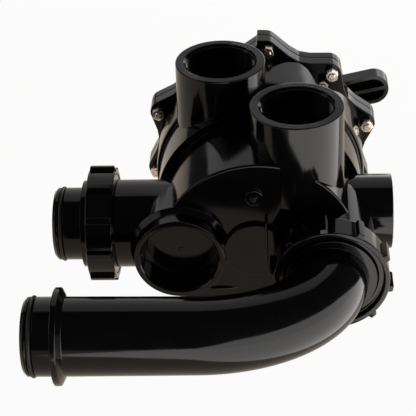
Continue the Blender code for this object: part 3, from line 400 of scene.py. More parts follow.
def torus(name, axis, ring_radius, section, segments, at=(0, 0, 0), sides=14):
    """Return an O-ring."""
    turns = [2 * math.pi * k / sides for k in range(sides)]
    profile = [(section * math.sin(turn), ring_radius + section * math.cos(turn)) for turn in turns]
    return lathe(name, axis, profile, segments, at)


def prism(name, outline, low, high):
    """Extrude an outline of (x, z) points along Y."""
    vertices = [Vector((x, level, z)) for level in (low, high) for x, z in outline]
    return make_piece(name, vertices, tube_faces(len(outline)))


def tube_faces(count):
    """Return the faces of a block between two outlines with the same number of points."""
    faces = [[k, (k + 1) % count, (k + 1) % count + count, k + count] for k in range(count)]
    return faces + [list(range(count)), list(range(count, 2 * count))]


def combine(target, tools, operation):
    """Fuse tools to a target, or cut them out, and remove them."""
    for tool in tools:
        modifier = target.modifiers.new(operation, "BOOLEAN")
        modifier.operation = operation
        modifier.object = tool
        modifier.solver = "EXACT"
    bpy.context.view_layer.update()
    result = bpy.data.meshes.new_from_object(target.evaluated_get(bpy.context.evaluated_depsgraph_get()))
    target.modifiers.clear()
    target.data = result
    for tool in tools:
        bpy.data.objects.remove(tool)
    clean(result)


def gather(pieces):
    """Put separate shapes that don't touch into one mesh."""
    shape = bmesh.new()
    for piece in pieces:
        shape.from_mesh(piece.data)
    mesh = pieces[0].data
    shape.to_mesh(mesh)
    shape.free()
    for piece in pieces[1:]:
        bpy.data.objects.remove(piece)
    return pieces[0]


def thread(name, axis, at, start, turns, radius, pitch, depth, steps=64):
    """Return a helical ridge that stands off a bore's wall towards its axis."""
    half = THREAD_HALF_WIDTH * pitch
    total = int(turns * steps)
    rings = []
    for k in range(total + 1):
        turn = 2 * math.pi * k / steps
        along = start + pitch * k / steps
        rise = depth * min(1.0, 4 * k / steps, 4 * (total - k) / steps)
        root = radius + SEAT_GAP
        section = [(along - half, root), (along, radius - rise), (along + half, root)]
        rings.append([Vector(at) + ring_point(axis, spot, reach, turn) for spot, reach in section])
    vertices = [point for ring in rings for point in ring]
    faces = []
    for k in range(total):
        for i in range(3):
            j = (i + 1) % 3
            faces.append([3 * k + i, 3 * k + j, 3 * k + 3 + j, 3 * k + 3 + i])
    faces += [[0, 1, 2], [3 * total, 3 * total + 1, 3 * total + 2]]
    return make_piece(name, vertices, faces)


def place(piece, material, body, slot, *nodes):
    """Move a finished shape to the frame, shade it, and let it ride on its body in place of its CAD nodes."""
    piece.data.transform(Matrix.Translation(ORIGIN))
    piece.data.materials.clear()
    piece.data.materials.append(material)
    for face in piece.data.polygons:
        face.use_smooth = True
    piece.data.set_sharp_from_angle(angle=SHARP_ANGLE)
    steady = piece.modifiers.new("steady_shading", "WEIGHTED_NORMAL")
    steady.keep_sharp = True
    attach(piece, body)
    if nodes:
        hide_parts(*nodes)
    return piece


# Materials

def add_node(tree, kind, **sockets):
    """Return a new shader node with its sockets set by name, with underscores for the names' spaces."""
    node = tree.nodes.new(kind)
    for name, value in sockets.items():
        node.inputs[name.replace("_", " ")].default_value = value
    return node


def noise_node(tree, scale, detail=3.0, distortion=0.0):
    """Return a noise texture in the piece's own metres."""
    place_node = tree.nodes.new("ShaderNodeTexCoord")
    texture = add_node(tree, "ShaderNodeTexNoise", Scale=scale, Detail=detail, Distortion=distortion)
    tree.links.new(place_node.outputs["Object"], texture.inputs["Vector"])
    return texture


def spread(tree, source, low, high):
    """Return a node that maps a noise's middle range to the range from low to high."""
    span = add_node(tree, "ShaderNodeMapRange", From_Min=0.3, From_Max=0.7, To_Min=low, To_Max=high)
    tree.links.new(source.outputs["Fac"], span.inputs["Value"])
    return span


def moulded(name, dark, light, roughness, shine, wave, grain, edge):
    """Return a moulded plastic or rubber: mottled colour and gloss, slow mould waves and fine grain."""
    material = bpy.data.materials.new(name)
    material.use_nodes = True
    tree = material.node_tree
    shader = tree.nodes["Principled BSDF"]
    tint = add_node(tree, "ShaderNodeMix")
    tint.data_type = "RGBA"
    tint.inputs["A"].default_value = (*dark, 1.0)
    tint.inputs["B"].default_value = (*light, 1.0)
    tree.links.new(noise_node(tree, 55.0).outputs["Fac"], tint.inputs["Factor"])
    tree.links.new(tint.outputs["Result"], shader.inputs["Base Color"])
    gloss = spread(tree, noise_node(tree, 38.0, 5.0), *roughness)
    tree.links.new(gloss.outputs["Result"], shader.inputs["Roughness"])
    shader.inputs["Specular IOR Level"].default_value = shine
    corner = add_node(tree, "ShaderNodeBevel", Radius=edge)
    corner.samples = 6
    slow = add_node(tree, "ShaderNodeBump", Strength=wave, Distance=0.001)
    tree.links.new(noise_node(tree, 30.0, 1.0).outputs["Fac"], slow.inputs["Height"])
    tree.links.new(corner.outputs["Normal"], slow.inputs["Normal"])
    fine = add_node(tree, "ShaderNodeBump", Strength=grain, Distance=0.0002)
    tree.links.new(noise_node(tree, 1400.0, 2.0).outputs["Fac"], fine.inputs["Height"])
    tree.links.new(slow.outputs["Normal"], fine.inputs["Normal"])
    tree.links.new(fine.outputs["Normal"], shader.inputs["Normal"])
    return material


def turned_steel(name):
    """Return stainless steel with fine machining marks and small changes of gloss."""
    material = bpy.data.materials.new(name)
    material.use_nodes = True
    tree = material.node_tree
    shader = tree.nodes["Principled BSDF"]
    shader.inputs["Metallic"].default_value = 1.0
    tint = add_node(tree, "ShaderNodeMix")
    tint.data_type = "RGBA"
    tint.inputs["A"].default_value = (0.62, 0.54, 0.44, 1.0)
    tint.inputs["B"].default_value = (0.84, 0.77, 0.66, 1.0)
    tree.links.new(noise_node(tree, 300.0, 4.0).outputs["Fac"], tint.inputs["Factor"])
    tree.links.new(tint.outputs["Result"], shader.inputs["Base Color"])
    gloss = spread(tree, noise_node(tree, 700.0, 4.0), 0.16, 0.34)
    tree.links.new(gloss.outputs["Result"], shader.inputs["Roughness"])
    marks = add_node(tree, "ShaderNodeBump", Strength=0.12, Distance=0.0001)
    tree.links.new(noise_node(tree, 2600.0, 2.0, 1.5).outputs["Fac"], marks.inputs["Height"])
    tree.links.new(marks.outputs["Normal"], shader.inputs["Normal"])
    return material


PLASTIC = moulded("gloss_black_moulding", (0.0010, 0.0010, 0.0011), (0.0030, 0.0030, 0.0032), (0.07, 0.15),
                  0.25, 0.10, 0.04, 0.0004)
RUBBER = moulded("seal_rubber", (0.008, 0.008, 0.008), (0.016, 0.016, 0.015), (0.34, 0.52),
                 0.3, 0.05, 0.25, 0.0002)
STEEL = turned_steel("stainless_fastener")


# Body

def flange_outline():
    """Return the scalloped outline that body and cover share, with a straight-sided ear at each bolt."""
    pitch = 2 * math.pi / BOLT_COUNT
    points = []
    for k in range(BOLT_COUNT):
        crown = [(-EAR_FLAT_ANGLE, EAR_RADIUS), (EAR_FLAT_ANGLE, EAR_RADIUS)]
        if k == KEY_EAR_INDEX:
            crown = [(KEY_EAR_START, KEY_EAR_RADIUS), (KEY_EAR_END, KEY_EAR_RADIUS),
                     (KEY_EAR_END, KEY_EAR_RADIUS - KEY_EAR_STEP)]
        ear = [(-pitch / 2, VALLEY_RADIUS), (-EAR_FOOT_ANGLE, EAR_FOOT_RADIUS), *crown,
               (EAR_FOOT_ANGLE, EAR_FOOT_RADIUS)]
        for away, radius in ear:
            turn = BOLT_PHASE + pitch * k + away
            points.append((radius * math.cos(turn), radius * math.sin(turn)))
    return fillet(points, EAR_ROUND, closed=True, tight=MOULD_EDGE)


def flange(low, high):
    """Return the scalloped flange with round edges."""
    return round_edges(prism("flange", flange_outline(), low, high), MOULD_EDGE, on_level)


def bolt_places():
    """Return the (x, z) place of each cover bolt."""
    turns = [BOLT_PHASE + 2 * math.pi * k / BOLT_COUNT for k in range(BOLT_COUNT)]
    return [(BOLT_CIRCLE_RADIUS * math.cos(turn), BOLT_CIRCLE_RADIUS * math.sin(turn)) for turn in turns]


def bolt_holes(low, high):
    """Return one cutter for all the bolt holes."""
    return gather([rod("bolt_hole", "Y", low, high, BOLT_HOLE_RADIUS, SMALL_SEGMENTS, (x, 0, z))
                   for x, z in bolt_places()])


def port_tube(name, x, depth, direction):
    """Return the outside of a threaded port, with fine rings on its rim."""
    end = PORT_REACH * direction
    foot = PORT_FOOT_RADIUS * direction
    side = [(foot, 0), (foot, PORT_FOOT_RADIUS), (end, PORT_RADIUS), (end, PORT_BORE_RADIUS)]
    profile = fillet(side, PORT_ROUND)[:-1]
    for k in range(RIM_RINGS):
        middle = PORT_RADIUS - RIM_RING_INSET - RIM_RING_PITCH * k
        profile += [(end, middle + RIM_RING_WIDTH / 2), (end - RIM_RING_DEPTH * direction, middle),
                    (end, middle - RIM_RING_WIDTH / 2)]
    return lathe(name, "Z", profile + [(end, 0)], PORT_SEGMENTS, (x, -depth, 0))


def port_bore(name, x, depth, direction):
    """Return the chamfered mouth of a port and the water way behind it."""
    end = PORT_REACH * direction
    neck = (PORT_REACH - PORT_BORE_DEPTH) * direction
    over = CUT_OVERRUN * direction
    foot = CHAMBER_RADIUS / 2 * direction
    chamfer = PORT_CHAMFER * direction
    profile = [(foot, 0), (foot, CHANNEL_RADIUS), (neck, CHANNEL_RADIUS), (neck, PORT_BORE_RADIUS),
               (end - chamfer, PORT_BORE_RADIUS), (end, PORT_BORE_RADIUS + PORT_CHAMFER),
               (end + over, PORT_BORE_RADIUS + PORT_CHAMFER), (end + over, 0)]
    return lathe(name, "Z", profile, PORT_SEGMENTS, (x, -depth, 0))


def body_moulding():
    """Mould the body: drum, flange, three ports, two branches, two connections and the marks on its back."""
    rear = REAR_RADIUS - REAR_DRAFT
    collar_end = -COLLAR_DEPTH - COLLAR_TAPER
    profile = fillet([
        (-BODY_FLANGE / 2, 0), (-BODY_FLANGE / 2, COLLAR_RADIUS), (-COLLAR_DEPTH, COLLAR_RADIUS),
        (collar_end, COLLAR_END_RADIUS), (collar_end, DRUM_RADIUS), (-DRUM_STEP_DEPTH, DRUM_RADIUS)],
        DRUM_EDGE)
    profile += fillet([(-DRUM_STEP_DEPTH, REAR_RADIUS), (BACK, rear), (BACK, 0)], BACK_EDGE_ROUND)
    body = lathe("body_moulding", "Y", profile, DRUM_SEGMENTS)
    thread_start = UPPER_NUT_REACH + RUNNING_GAP
    upper = lathe("upper_branch", "X", [
        (-REAR_RADIUS / 2, 0), (-REAR_RADIUS / 2, BRANCH_RADIUS), (-thread_start, BRANCH_RADIUS),
        (-thread_start, UNION_THREAD_RADIUS), (UPPER_FACE_X, UNION_THREAD_RADIUS), (UPPER_FACE_X, 0)],
        PORT_SEGMENTS, (0, -BRANCH_DEPTH, 0), MOULD_EDGE / 2)
    blank = lathe("blank_branch", "X", [
        (REAR_RADIUS / 2, 0), (REAR_RADIUS / 2, BLANK_BRANCH_RADIUS),
        (BLANK_BRANCH_REACH, BLANK_BRANCH_RADIUS), (BLANK_BRANCH_REACH, 0)],
        PORT_SEGMENTS, (0, -BLANK_BRANCH_DEPTH, 0), PORT_ROUND)
    socket = lathe("front_socket", "Y", [
        (-BRANCH_DEPTH, 0), (-BRANCH_DEPTH, FRONT_SOCKET_RADIUS + FRONT_SOCKET_FLARE / 4),
        (BACK, FRONT_SOCKET_RADIUS + FRONT_SOCKET_FLARE), (BACK - FRONT_SOCKET_FLARE, FRONT_SOCKET_RADIUS),
        (SOCKET_RIM, FRONT_SOCKET_RADIUS), (SOCKET_RIM, 0)], PORT_SEGMENTS, (SOCKET_X, 0, 0), PORT_ROUND)
    lower_thread = LOWER_NUT_NEAR - RUNNING_GAP
    quarter = [math.pi / 2 * k / DOME_STEPS for k in range(DOME_STEPS)]
    dome = [(BRANCH_RADIUS * math.cos(turn) - BRANCH_DEPTH, BRANCH_RADIUS * math.sin(turn))
            for turn in quarter]
    lower = lathe("lower_branch", "Y", dome + [
        (-BRANCH_DEPTH, BRANCH_RADIUS), (lower_thread, BRANCH_RADIUS), (lower_thread, UNION_THREAD_RADIUS),
        (LOWER_FACE_Y, UNION_THREAD_RADIUS), (LOWER_FACE_Y, 0)], PORT_SEGMENTS, (LOWER_X, 0, 0))
    hub = rod("hub", "Y", BACK - HUB_HEIGHT, BACK + HUB_HEIGHT, HUB_RADIUS, PORT_SEGMENTS,
              (REAR_CENTRE, 0, 0), MOULD_EDGE)
    web_x = REAR_CENTRE + WEB_OFFSET
    half = WEB_THICKNESS / 2
    web = prism("web", [(web_x - half, WEB_FOOT), (web_x + half, WEB_FOOT), (web_x + half, WEB_TOP),
                        (web_x - half, WEB_TOP)], BACK - WEB_HEIGHT, BACK + WEB_HEIGHT)
    round_edges(web, MOULD_EDGE / 2, is_sharp)
    gate = rod("gate", "Y", BACK - GATE_HEIGHT, BACK + GATE_HEIGHT, GATE_RADIUS, SMALL_SEGMENTS,
               (REAR_CENTRE, 0, GATE_RISE), MOULD_EDGE)
    combine(body, [
        flange(-BODY_FLANGE, 0), upper, blank, socket, lower,
        port_tube("pump_port", -PORT_OFFSET, PUMP_PORT_DEPTH, 1),
        port_tube("return_port", PORT_OFFSET, RETURN_PORT_DEPTH, 1),
        port_tube("waste_port", -PORT_OFFSET, RETURN_PORT_DEPTH, -1), hub, web, gate], "UNION")
    hollow_body(body)
    return body


def hollow_body(body):
    """Cut the chamber, the ports, the sockets and the bolt holes."""
    disc_back = SOCKET_LEDGE + BLANK_DISC_THICKNESS + SEAT_GAP
    disc_side = BLANK_DISC_RADIUS + SEAT_GAP
    combine(body, [
        rod("chamber", "Y", FLOOR, CUT_OVERRUN, CHAMBER_RADIUS, DRUM_SEGMENTS),
        port_bore("pump_bore", -PORT_OFFSET, PUMP_PORT_DEPTH, 1),
        port_bore("return_bore", PORT_OFFSET, RETURN_PORT_DEPTH, 1),
        port_bore("waste_bore", -PORT_OFFSET, RETURN_PORT_DEPTH, -1),
        rod("upper_bore", "X", UPPER_FACE_X - CUT_OVERRUN, SOCKET_X, CHANNEL_RADIUS, PORT_SEGMENTS,
            (0, -BRANCH_DEPTH, 0)),
        lathe("socket_bore", "Y", [
            (SOCKET_RIM - CUT_OVERRUN, 0), (SOCKET_RIM - CUT_OVERRUN, FRONT_SOCKET_BORE + MOULD_EDGE),
            (SOCKET_RIM, FRONT_SOCKET_BORE + MOULD_EDGE), (SOCKET_RIM + MOULD_EDGE, FRONT_SOCKET_BORE),
            (SOCKET_LEDGE, FRONT_SOCKET_BORE - MOULD_EDGE), (SOCKET_LEDGE, disc_side), (disc_back, disc_side),
            (disc_back, CHANNEL_RADIUS), (-BRANCH_DEPTH, CHANNEL_RADIUS), (-BRANCH_DEPTH, 0)],
            PORT_SEGMENTS, (SOCKET_X, 0, 0)),
        rod("lower_bore", "Y", LOWER_FACE_Y - CUT_OVERRUN, -BRANCH_DEPTH + CHANNEL_RADIUS / 2, CHANNEL_RADIUS,
            PORT_SEGMENTS, (LOWER_X, 0, 0)),
        rod("blank_socket", "X", BLANK_BRANCH_REACH - BLANK_SOCKET_DEPTH, BLANK_BRANCH_REACH + CUT_OVERRUN,
            BLANK_SOCKET_RADIUS, PORT_SEGMENTS, (0, -BLANK_BRANCH_DEPTH, 0)),
        bolt_holes(-BODY_FLANGE - CUT_OVERRUN, CUT_OVERRUN)], "DIFFERENCE")


def blanking_disc():
    """Return the plate in the back socket, a little crowned, with two small moulding marks."""
    face = SOCKET_LEDGE
    crown = MOULD_EDGE / 2
    disc = lathe("blanking_disc", "Y", [
        (face - crown, 0), (face - crown, BLANK_DISC_RADIUS / 3), (face, BLANK_DISC_RADIUS),
        (face + BLANK_DISC_THICKNESS, BLANK_DISC_RADIUS), (face + BLANK_DISC_THICKNESS, 0)],
        PORT_SEGMENTS, (SOCKET_X, 0, 0), MOULD_EDGE / 2)
    marks = [rod("mark", "Y", face - 2 * crown, face + crown, 2 * MOULD_EDGE, SMALL_SEGMENTS,
                 (SOCKET_X, 0, z), crown)
             for z in (0.75 * BLANK_DISC_RADIUS, -0.2 * BLANK_DISC_RADIUS)]
    combine(disc, marks, "UNION")
    return disc


def sprue_stub():
    """Return the torn stub in the middle of the gate mark on the body's back."""
    level = BACK - GATE_HEIGHT
    profile = [(level + SEAT_GAP, 0), (level + SEAT_GAP, GATE_RADIUS / 2),
               (level - MOULD_EDGE, GATE_RADIUS / 2.4), (level - 2 * MOULD_EDGE, GATE_RADIUS / 4),
               (level - 1.5 * MOULD_EDGE, 0)]
    stub = lathe("sprue_stub", "Y", profile, SMALL_SEGMENTS, (REAR_CENTRE, 0, GATE_RISE), MOULD_EDGE / 3)
    for vertex in stub.data.vertices:
        if vertex.co.y < level:
            vertex.co += noise.noise_vector(vertex.co * STUB_RAGGEDNESS) * MOULD_EDGE * 0.8
    return stub


# Unions, tails and elbow

def union_nut(name, axis, near, at, phase):
    """Return a lugged union nut that runs from its thread end, at near, towards the tail."""
    far = near - UNION_NUT_LENGTH
    bore = UNION_THREAD_RADIUS + RUNNING_GAP
    lip_near = near - UNION_FACE - UNION_COLLAR - 2 * SEAT_GAP
    lip_far = lip_near - UNION_LIP
    eye = UNION_NECK_RADIUS + RUNNING_GAP
    nut = lathe(name, axis, [
        (near, bore), (near, UNION_NUT_RADIUS), (far, UNION_NUT_RADIUS), (far, bore),
        (lip_far, bore), (lip_far, eye), (lip_near, eye), (lip_near, bore)], PORT_SEGMENTS, at, PORT_ROUND)
    turns = [phase + 2 * math.pi * k / UNION_LUG_COUNT for k in range(UNION_LUG_COUNT)]
    combine(nut, [union_lug(axis, turn, near, far, at) for turn in turns], "UNION")
    return nut


def union_lug(axis, turn, near, far, at):
    """Return one straight grip lug with sloped ends, sunk into the nut's wall."""
    root = UNION_NUT_RADIUS - UNION_LUG_ROOT
    top = UNION_NUT_RADIUS + UNION_LUG_HEIGHT
    section = [(near - SEAT_GAP, root, UNION_LUG_WIDTH), (near - PORT_ROUND, top, UNION_LUG_TOP_WIDTH),
               (far + PORT_ROUND, top, UNION_LUG_TOP_WIDTH), (far + SEAT_GAP, root, UNION_LUG_WIDTH)]
    points = []
    for side in (-1, 1):
        for along, radius, width in section:
            middle = ring_point(axis, along, radius, turn)
            points.append(Vector(at) + middle + ring_point(axis, 0, side * width / 2, turn + math.pi / 2))
    return round_edges(make_piece("lug", points, tube_faces(4)), MOULD_EDGE / 2, is_sharp)


def tail_profile(end):
    """Return the outside of a tail from its O-ring groove to its nose and bore, for an end on the -X side."""
    groove = -end + TAIL_SEAL_SETBACK
    half = TAIL_GROOVE_WIDTH / 2
    floor = PIPE_RADIUS - TAIL_GROOVE_DEPTH
    return [(groove + half, PIPE_RADIUS), (groove + half, floor), (groove - half, floor),
            (groove - half, PIPE_RADIUS), (-end + TAIL_NOSE, PIPE_RADIUS), (-end, PIPE_RADIUS - TAIL_NOSE),
            (-end, PIPE_BORE_RADIUS)]


def tail_ring(name, end, y):
    """Return the O-ring in a tail's groove."""
    ring_radius = PIPE_RADIUS - TAIL_GROOVE_DEPTH + SEAT_GAP + TAIL_SEAL_SECTION
    return torus(name, "X", ring_radius, TAIL_SEAL_SECTION, PORT_SEGMENTS, (-end + TAIL_SEAL_SETBACK, y, 0))


def upper_tail():
    """Turn the straight tail that the upper union nut holds."""
    collar_near = UPPER_FACE_X - SEAT_GAP
    collar_far = collar_near - UNION_COLLAR
    neck = -UPPER_NECK_END
    profile = [(collar_near, PIPE_BORE_RADIUS), (collar_near, UNION_THREAD_RADIUS),
               (collar_far, UNION_THREAD_RADIUS), (collar_far, UNION_NECK_RADIUS), (neck, UNION_NECK_RADIUS),
               (neck, PIPE_RADIUS)] + tail_profile(UPPER_TAIL_END)
    return lathe("upper_tail_moulding", "X", profile, PORT_SEGMENTS, (0, -BRANCH_DEPTH, 0), MOULD_EDGE / 2)


def elbow_ring(x, y, turn, radius):
    """Return a ring across the elbow's path, which runs along -Y at turn 0 and along -X at a right angle."""
    middle = Vector((x, y, 0))
    across = Vector((math.cos(turn), -math.sin(turn), 0))
    up = Vector((0, 0, 1))
    angles = [2 * math.pi * k / PORT_SEGMENTS for k in range(PORT_SEGMENTS)]
    return [middle + radius * (math.cos(angle) * across + math.sin(angle) * up) for angle in angles]


def bend_ring(k, start, radius):
    """Return one ring round the bend, a quarter of an oval that starts along -Y and ends along -X."""
    turn = math.pi / 2 * k / BEND_STEPS
    depth = start - ELBOW_TAIL_Y
    x = LOWER_X - ELBOW_BEND_WIDTH * (1 - math.cos(turn))
    y = start - depth * math.sin(turn)
    heading = math.atan2(ELBOW_BEND_WIDTH * math.sin(turn), depth * math.cos(turn))
    return elbow_ring(x, y, heading, radius)


def elbow():
    """Sweep the elbow: out of the lower union along -Y, round the bend, then along -X to its tail."""
    collar_near = LOWER_FACE_Y - SEAT_GAP
    collar_far = collar_near - UNION_COLLAR
    neck = LOWER_NUT_FAR + ELBOW_NECK_INSET
    root = fillet([(collar_near, PIPE_BORE_RADIUS), (collar_near, UNION_THREAD_RADIUS),
                   (collar_far, UNION_THREAD_RADIUS), (collar_far, UNION_NECK_RADIUS),
                   (neck, UNION_NECK_RADIUS), (neck, ELBOW_RADIUS)], MOULD_EDGE / 2)
    bend = range(1, BEND_STEPS + 1)
    first = next(k for k in bend if bend_ring(k, collar_far, 0)[0].y < neck)
    collar = -ELBOW_TAIL_END + ELBOW_COLLAR_SETBACK
    tail = fillet([(LOWER_X - ELBOW_BEND_WIDTH, ELBOW_RADIUS),
                   (collar + ELBOW_COLLAR_WIDTH + ELBOW_COLLAR_CONE, PIPE_RADIUS),
                   (collar + ELBOW_COLLAR_WIDTH, ELBOW_COLLAR_RADIUS), (collar, ELBOW_COLLAR_RADIUS),
                   (collar, PIPE_RADIUS)] + tail_profile(ELBOW_TAIL_END), MOULD_EDGE)
    rings = [elbow_ring(LOWER_X, y, 0.0, radius) for y, radius in root]
    rings += [bend_ring(k, collar_far, ELBOW_RADIUS) for k in bend if first <= k < BEND_STEPS]
    rings += [elbow_ring(x, ELBOW_TAIL_Y, math.pi / 2, radius) for x, radius in tail]
    rings += [bend_ring(k, collar_far, PIPE_BORE_RADIUS) for k in reversed(bend)]
    return skin("elbow_moulding", rings, closed=True)


# Cover, handle and fasteners

def cover_moulding():
    """Mould the cover: scalloped flange, shallow dome, stem guide and indexed hub."""
    top = COVER_FACE + COVER_FLANGE
    foot = COVER_FACE + COVER_FLANGE / 2
    rim = CHAMBER_RADIUS + COVER_WALL
    shoulder = COVER_HUB_TOP - COVER_HUB_HEIGHT
    cover = lathe("cover_moulding", "Y", [
        (foot, 0), (foot, rim), (top + COVER_LIP, rim), (top + COVER_CROWN, CHAMBER_RADIUS),
        (shoulder - COVER_SLOPE, COVER_SLOPE_RADIUS), (shoulder, COVER_SHOULDER_RADIUS),
        (COVER_HUB_TOP - COVER_HUB_EDGE, COVER_HUB_RADIUS),
        (COVER_HUB_TOP, COVER_HUB_RADIUS - COVER_HUB_EDGE), (COVER_HUB_TOP, 0)],
        DRUM_SEGMENTS, edge=COVER_HUB_EDGE)
    combine(cover, [flange(COVER_FACE, top)], "UNION")
    roof = shoulder - COVER_ROOF
    inside = CHAMBER_RADIUS - COVER_DRAFT
    dome = lathe("dome", "Y", [
        (COVER_FACE - CUT_OVERRUN, 0), (COVER_FACE - CUT_OVERRUN, inside),
        (top + COVER_LIP, inside - 2 * COVER_DRAFT),
        (roof - COVER_SLOPE, COVER_SLOPE_RADIUS - 3 * COVER_DRAFT), (roof, COVER_GUIDE_RADIUS),
        (COVER_GUIDE_LEVEL, COVER_GUIDE_RADIUS), (COVER_GUIDE_LEVEL, 0)], DRUM_SEGMENTS)
    bore = rod("stem_bore", "Y", 0, COVER_HUB_TOP + CUT_OVERRUN, STEM_RADIUS + STEM_BORE_GAP, SMALL_SEGMENTS)
    notches = [index_notch(HANDLE_ANGLE + 2 * math.pi * k / INDEX_COUNT) for k in range(INDEX_COUNT)]
    combine(cover, [dome, bore, bolt_holes(-CUT_OVERRUN, top + CUT_OVERRUN), *notches], "DIFFERENCE")
    return cover


def index_notch(turn):
    """Return the cutter for one of the index notches in the rim of the cover's hub."""
    along = Vector((math.cos(turn), math.sin(turn)))
    side = Vector((-along.y, along.x)) * INDEX_NOTCH_WIDTH / 2
    inner = along * (THRUST_WASHER_RADIUS + INDEX_NOTCH_GAP)
    outer = along * (COVER_HUB_RADIUS + CUT_OVERRUN)
    corners = [inner + side, inner - side, outer - side, outer + side]
    return prism("notch", [tuple(corner) for corner in corners], COVER_HUB_TOP - INDEX_NOTCH_DEPTH,
                 COVER_HUB_TOP + CUT_OVERRUN)


def handle_outline(margin):
    """Return the lever's plan, from its root to its round tip, drawn in by a margin."""
    tip = HANDLE_LENGTH - HANDLE_TIP_RADIUS
    root = HANDLE_ROOT + margin
    steps = 24
    outline = [(root, -HANDLE_ROOT_HALF_WIDTH + margin)]
    for k in range(steps + 1):
        turn = -math.pi / 2 + math.pi * k / steps
        radius = HANDLE_TIP_RADIUS - margin
        outline.append((tip + radius * math.cos(turn), radius * math.sin(turn)))
    outline.append((root, HANDLE_ROOT_HALF_WIDTH - margin))
    return outline


def handle_block(name, outline, low, high):
    """Return a lever-shaped block along X whose floor and top climb towards the tip."""
    slope = HANDLE_RISE / HANDLE_LENGTH
    vertices = [Vector((x, level + slope * x, z)) for level in (low, high) for x, z in outline]
    return make_piece(name, vertices, tube_faces(len(outline)))


def slot_outline(slack, radius):
    """Return a slot with round ends, so that the lever can tip on the stem."""
    steps = SMALL_SEGMENTS // 2
    outline = []
    for side in (1, -1):
        for k in range(steps + 1):
            turn = math.pi * (k / steps - 0.5)
            outline.append((side * (slack + radius * math.cos(turn)), side * radius * math.sin(turn)))
    return outline


def handle_pocket(side, start, floor, roof):
    """Return the cutter for the hollow on one side of the lever's middle rib."""
    tip = HANDLE_LENGTH - HANDLE_TIP_RADIUS
    slope = (HANDLE_TIP_RADIUS - HANDLE_ROOT_HALF_WIDTH) / (tip - HANDLE_ROOT)
    near = (HANDLE_ROOT_HALF_WIDTH - HANDLE_WALL + slope * (start - HANDLE_ROOT)) * side
    rib = HANDLE_WALL / 2 * side
    half = [(x, z) for x, z in handle_outline(HANDLE_WALL)[1:-1] if z * side > HANDLE_WALL / 2]
    outline = [(start, rib), (start, near)] + (half if side < 0 else half[::-1])
    outline.append((HANDLE_LENGTH - HANDLE_WALL - SEAT_GAP, rib))
    return handle_block("pocket", outline, floor, roof)


def handle():
    """Mould the lever: hub with a stem slot, hollow arm with a wall, a roof and one middle rib."""
    floor = COVER_HUB_TOP + THRUST_WASHER_THICKNESS + 2 * SEAT_GAP - PIN_LEVEL
    roof = floor + HANDLE_DEPTH + HANDLE_WALL
    arm_floor = floor + HANDLE_WALL
    lever = handle_block("handle_moulding", handle_outline(0), arm_floor, roof)
    hub = rod("hub", "Y", floor, roof + HANDLE_WALL / 2, HANDLE_HUB_RADIUS, SMALL_SEGMENTS * 2)
    combine(lever, [hub], "UNION")
    start = HANDLE_HUB_RADIUS + HANDLE_WALL
    pockets = [handle_pocket(side, start, arm_floor - CUT_OVERRUN, roof - HANDLE_WALL) for side in (-1, 1)]
    slot = prism("stem_slot", slot_outline(HANDLE_SLOT_SLACK, STEM_RADIUS + RUNNING_GAP),
                 floor - CUT_OVERRUN, roof + HANDLE_WALL + CUT_OVERRUN)
    reach = HANDLE_HUB_RADIUS + CUT_OVERRUN
    pin_hole = rod("pin_hole", "Z", -reach, reach, PIN_RADIUS + RUNNING_GAP, SMALL_SEGMENTS)
    combine(lever, [*pockets, slot, pin_hole], "DIFFERENCE")
    round_edges(lever, MOULD_EDGE * 0.6, is_sharp, 2)
    lever.data.transform(Matrix.Translation((0, PIN_LEVEL, 0)) @ Matrix.Rotation(-HANDLE_ANGLE, 4, "Y"))
    return lever


def hex_block(name, low, high, chamfered):
    """Return a hexagon along Y with its corners turned off at the ends that are named."""
    corner = HEX_ACROSS_FLATS / math.sqrt(3)
    flat = HEX_ACROSS_FLATS / 2
    drop = (corner - flat) * math.tan(math.radians(30))
    outline = [(corner * math.cos(math.pi * k / 3), corner * math.sin(math.pi * k / 3)) for k in range(6)]
    block = prism(name, outline, low, high)
    inset = flat * 0.96
    ends = {"low": [(low, 0), (low, inset), (low + drop, corner)],
            "high": [(high - drop, corner), (high, inset), (high, 0)]}
    profile = ends["low"] if "low" in chamfered else [(low - drop, 0), (low - drop, corner)]
    profile += ends["high"] if "high" in chamfered else [(high + drop, corner), (high + drop, 0)]
    wide = [(along, radius * 1.02 if radius == corner else radius) for along, radius in profile]
    combine(block, [lathe("turned", "Y", wide, SMALL_SEGMENTS * 2)], "INTERSECT")
    return block


def threaded_bar(name, start, end):
    """Return a round bar with a thread all along it and a turned-off end."""
    profile = [(start, 0), (start, BOLT_RADIUS * 0.8)]
    count = int((end - start) / BOLT_PITCH)
    for k in range(count):
        root = start + BOLT_PITCH * (k + 0.5)
        profile += [(root, BOLT_RADIUS), (root + BOLT_PITCH / 2, BOLT_RADIUS * 0.86)]
    return lathe(name, "Y", profile + [(end, BOLT_RADIUS * 0.86), (end, 0)], SMALL_SEGMENTS)


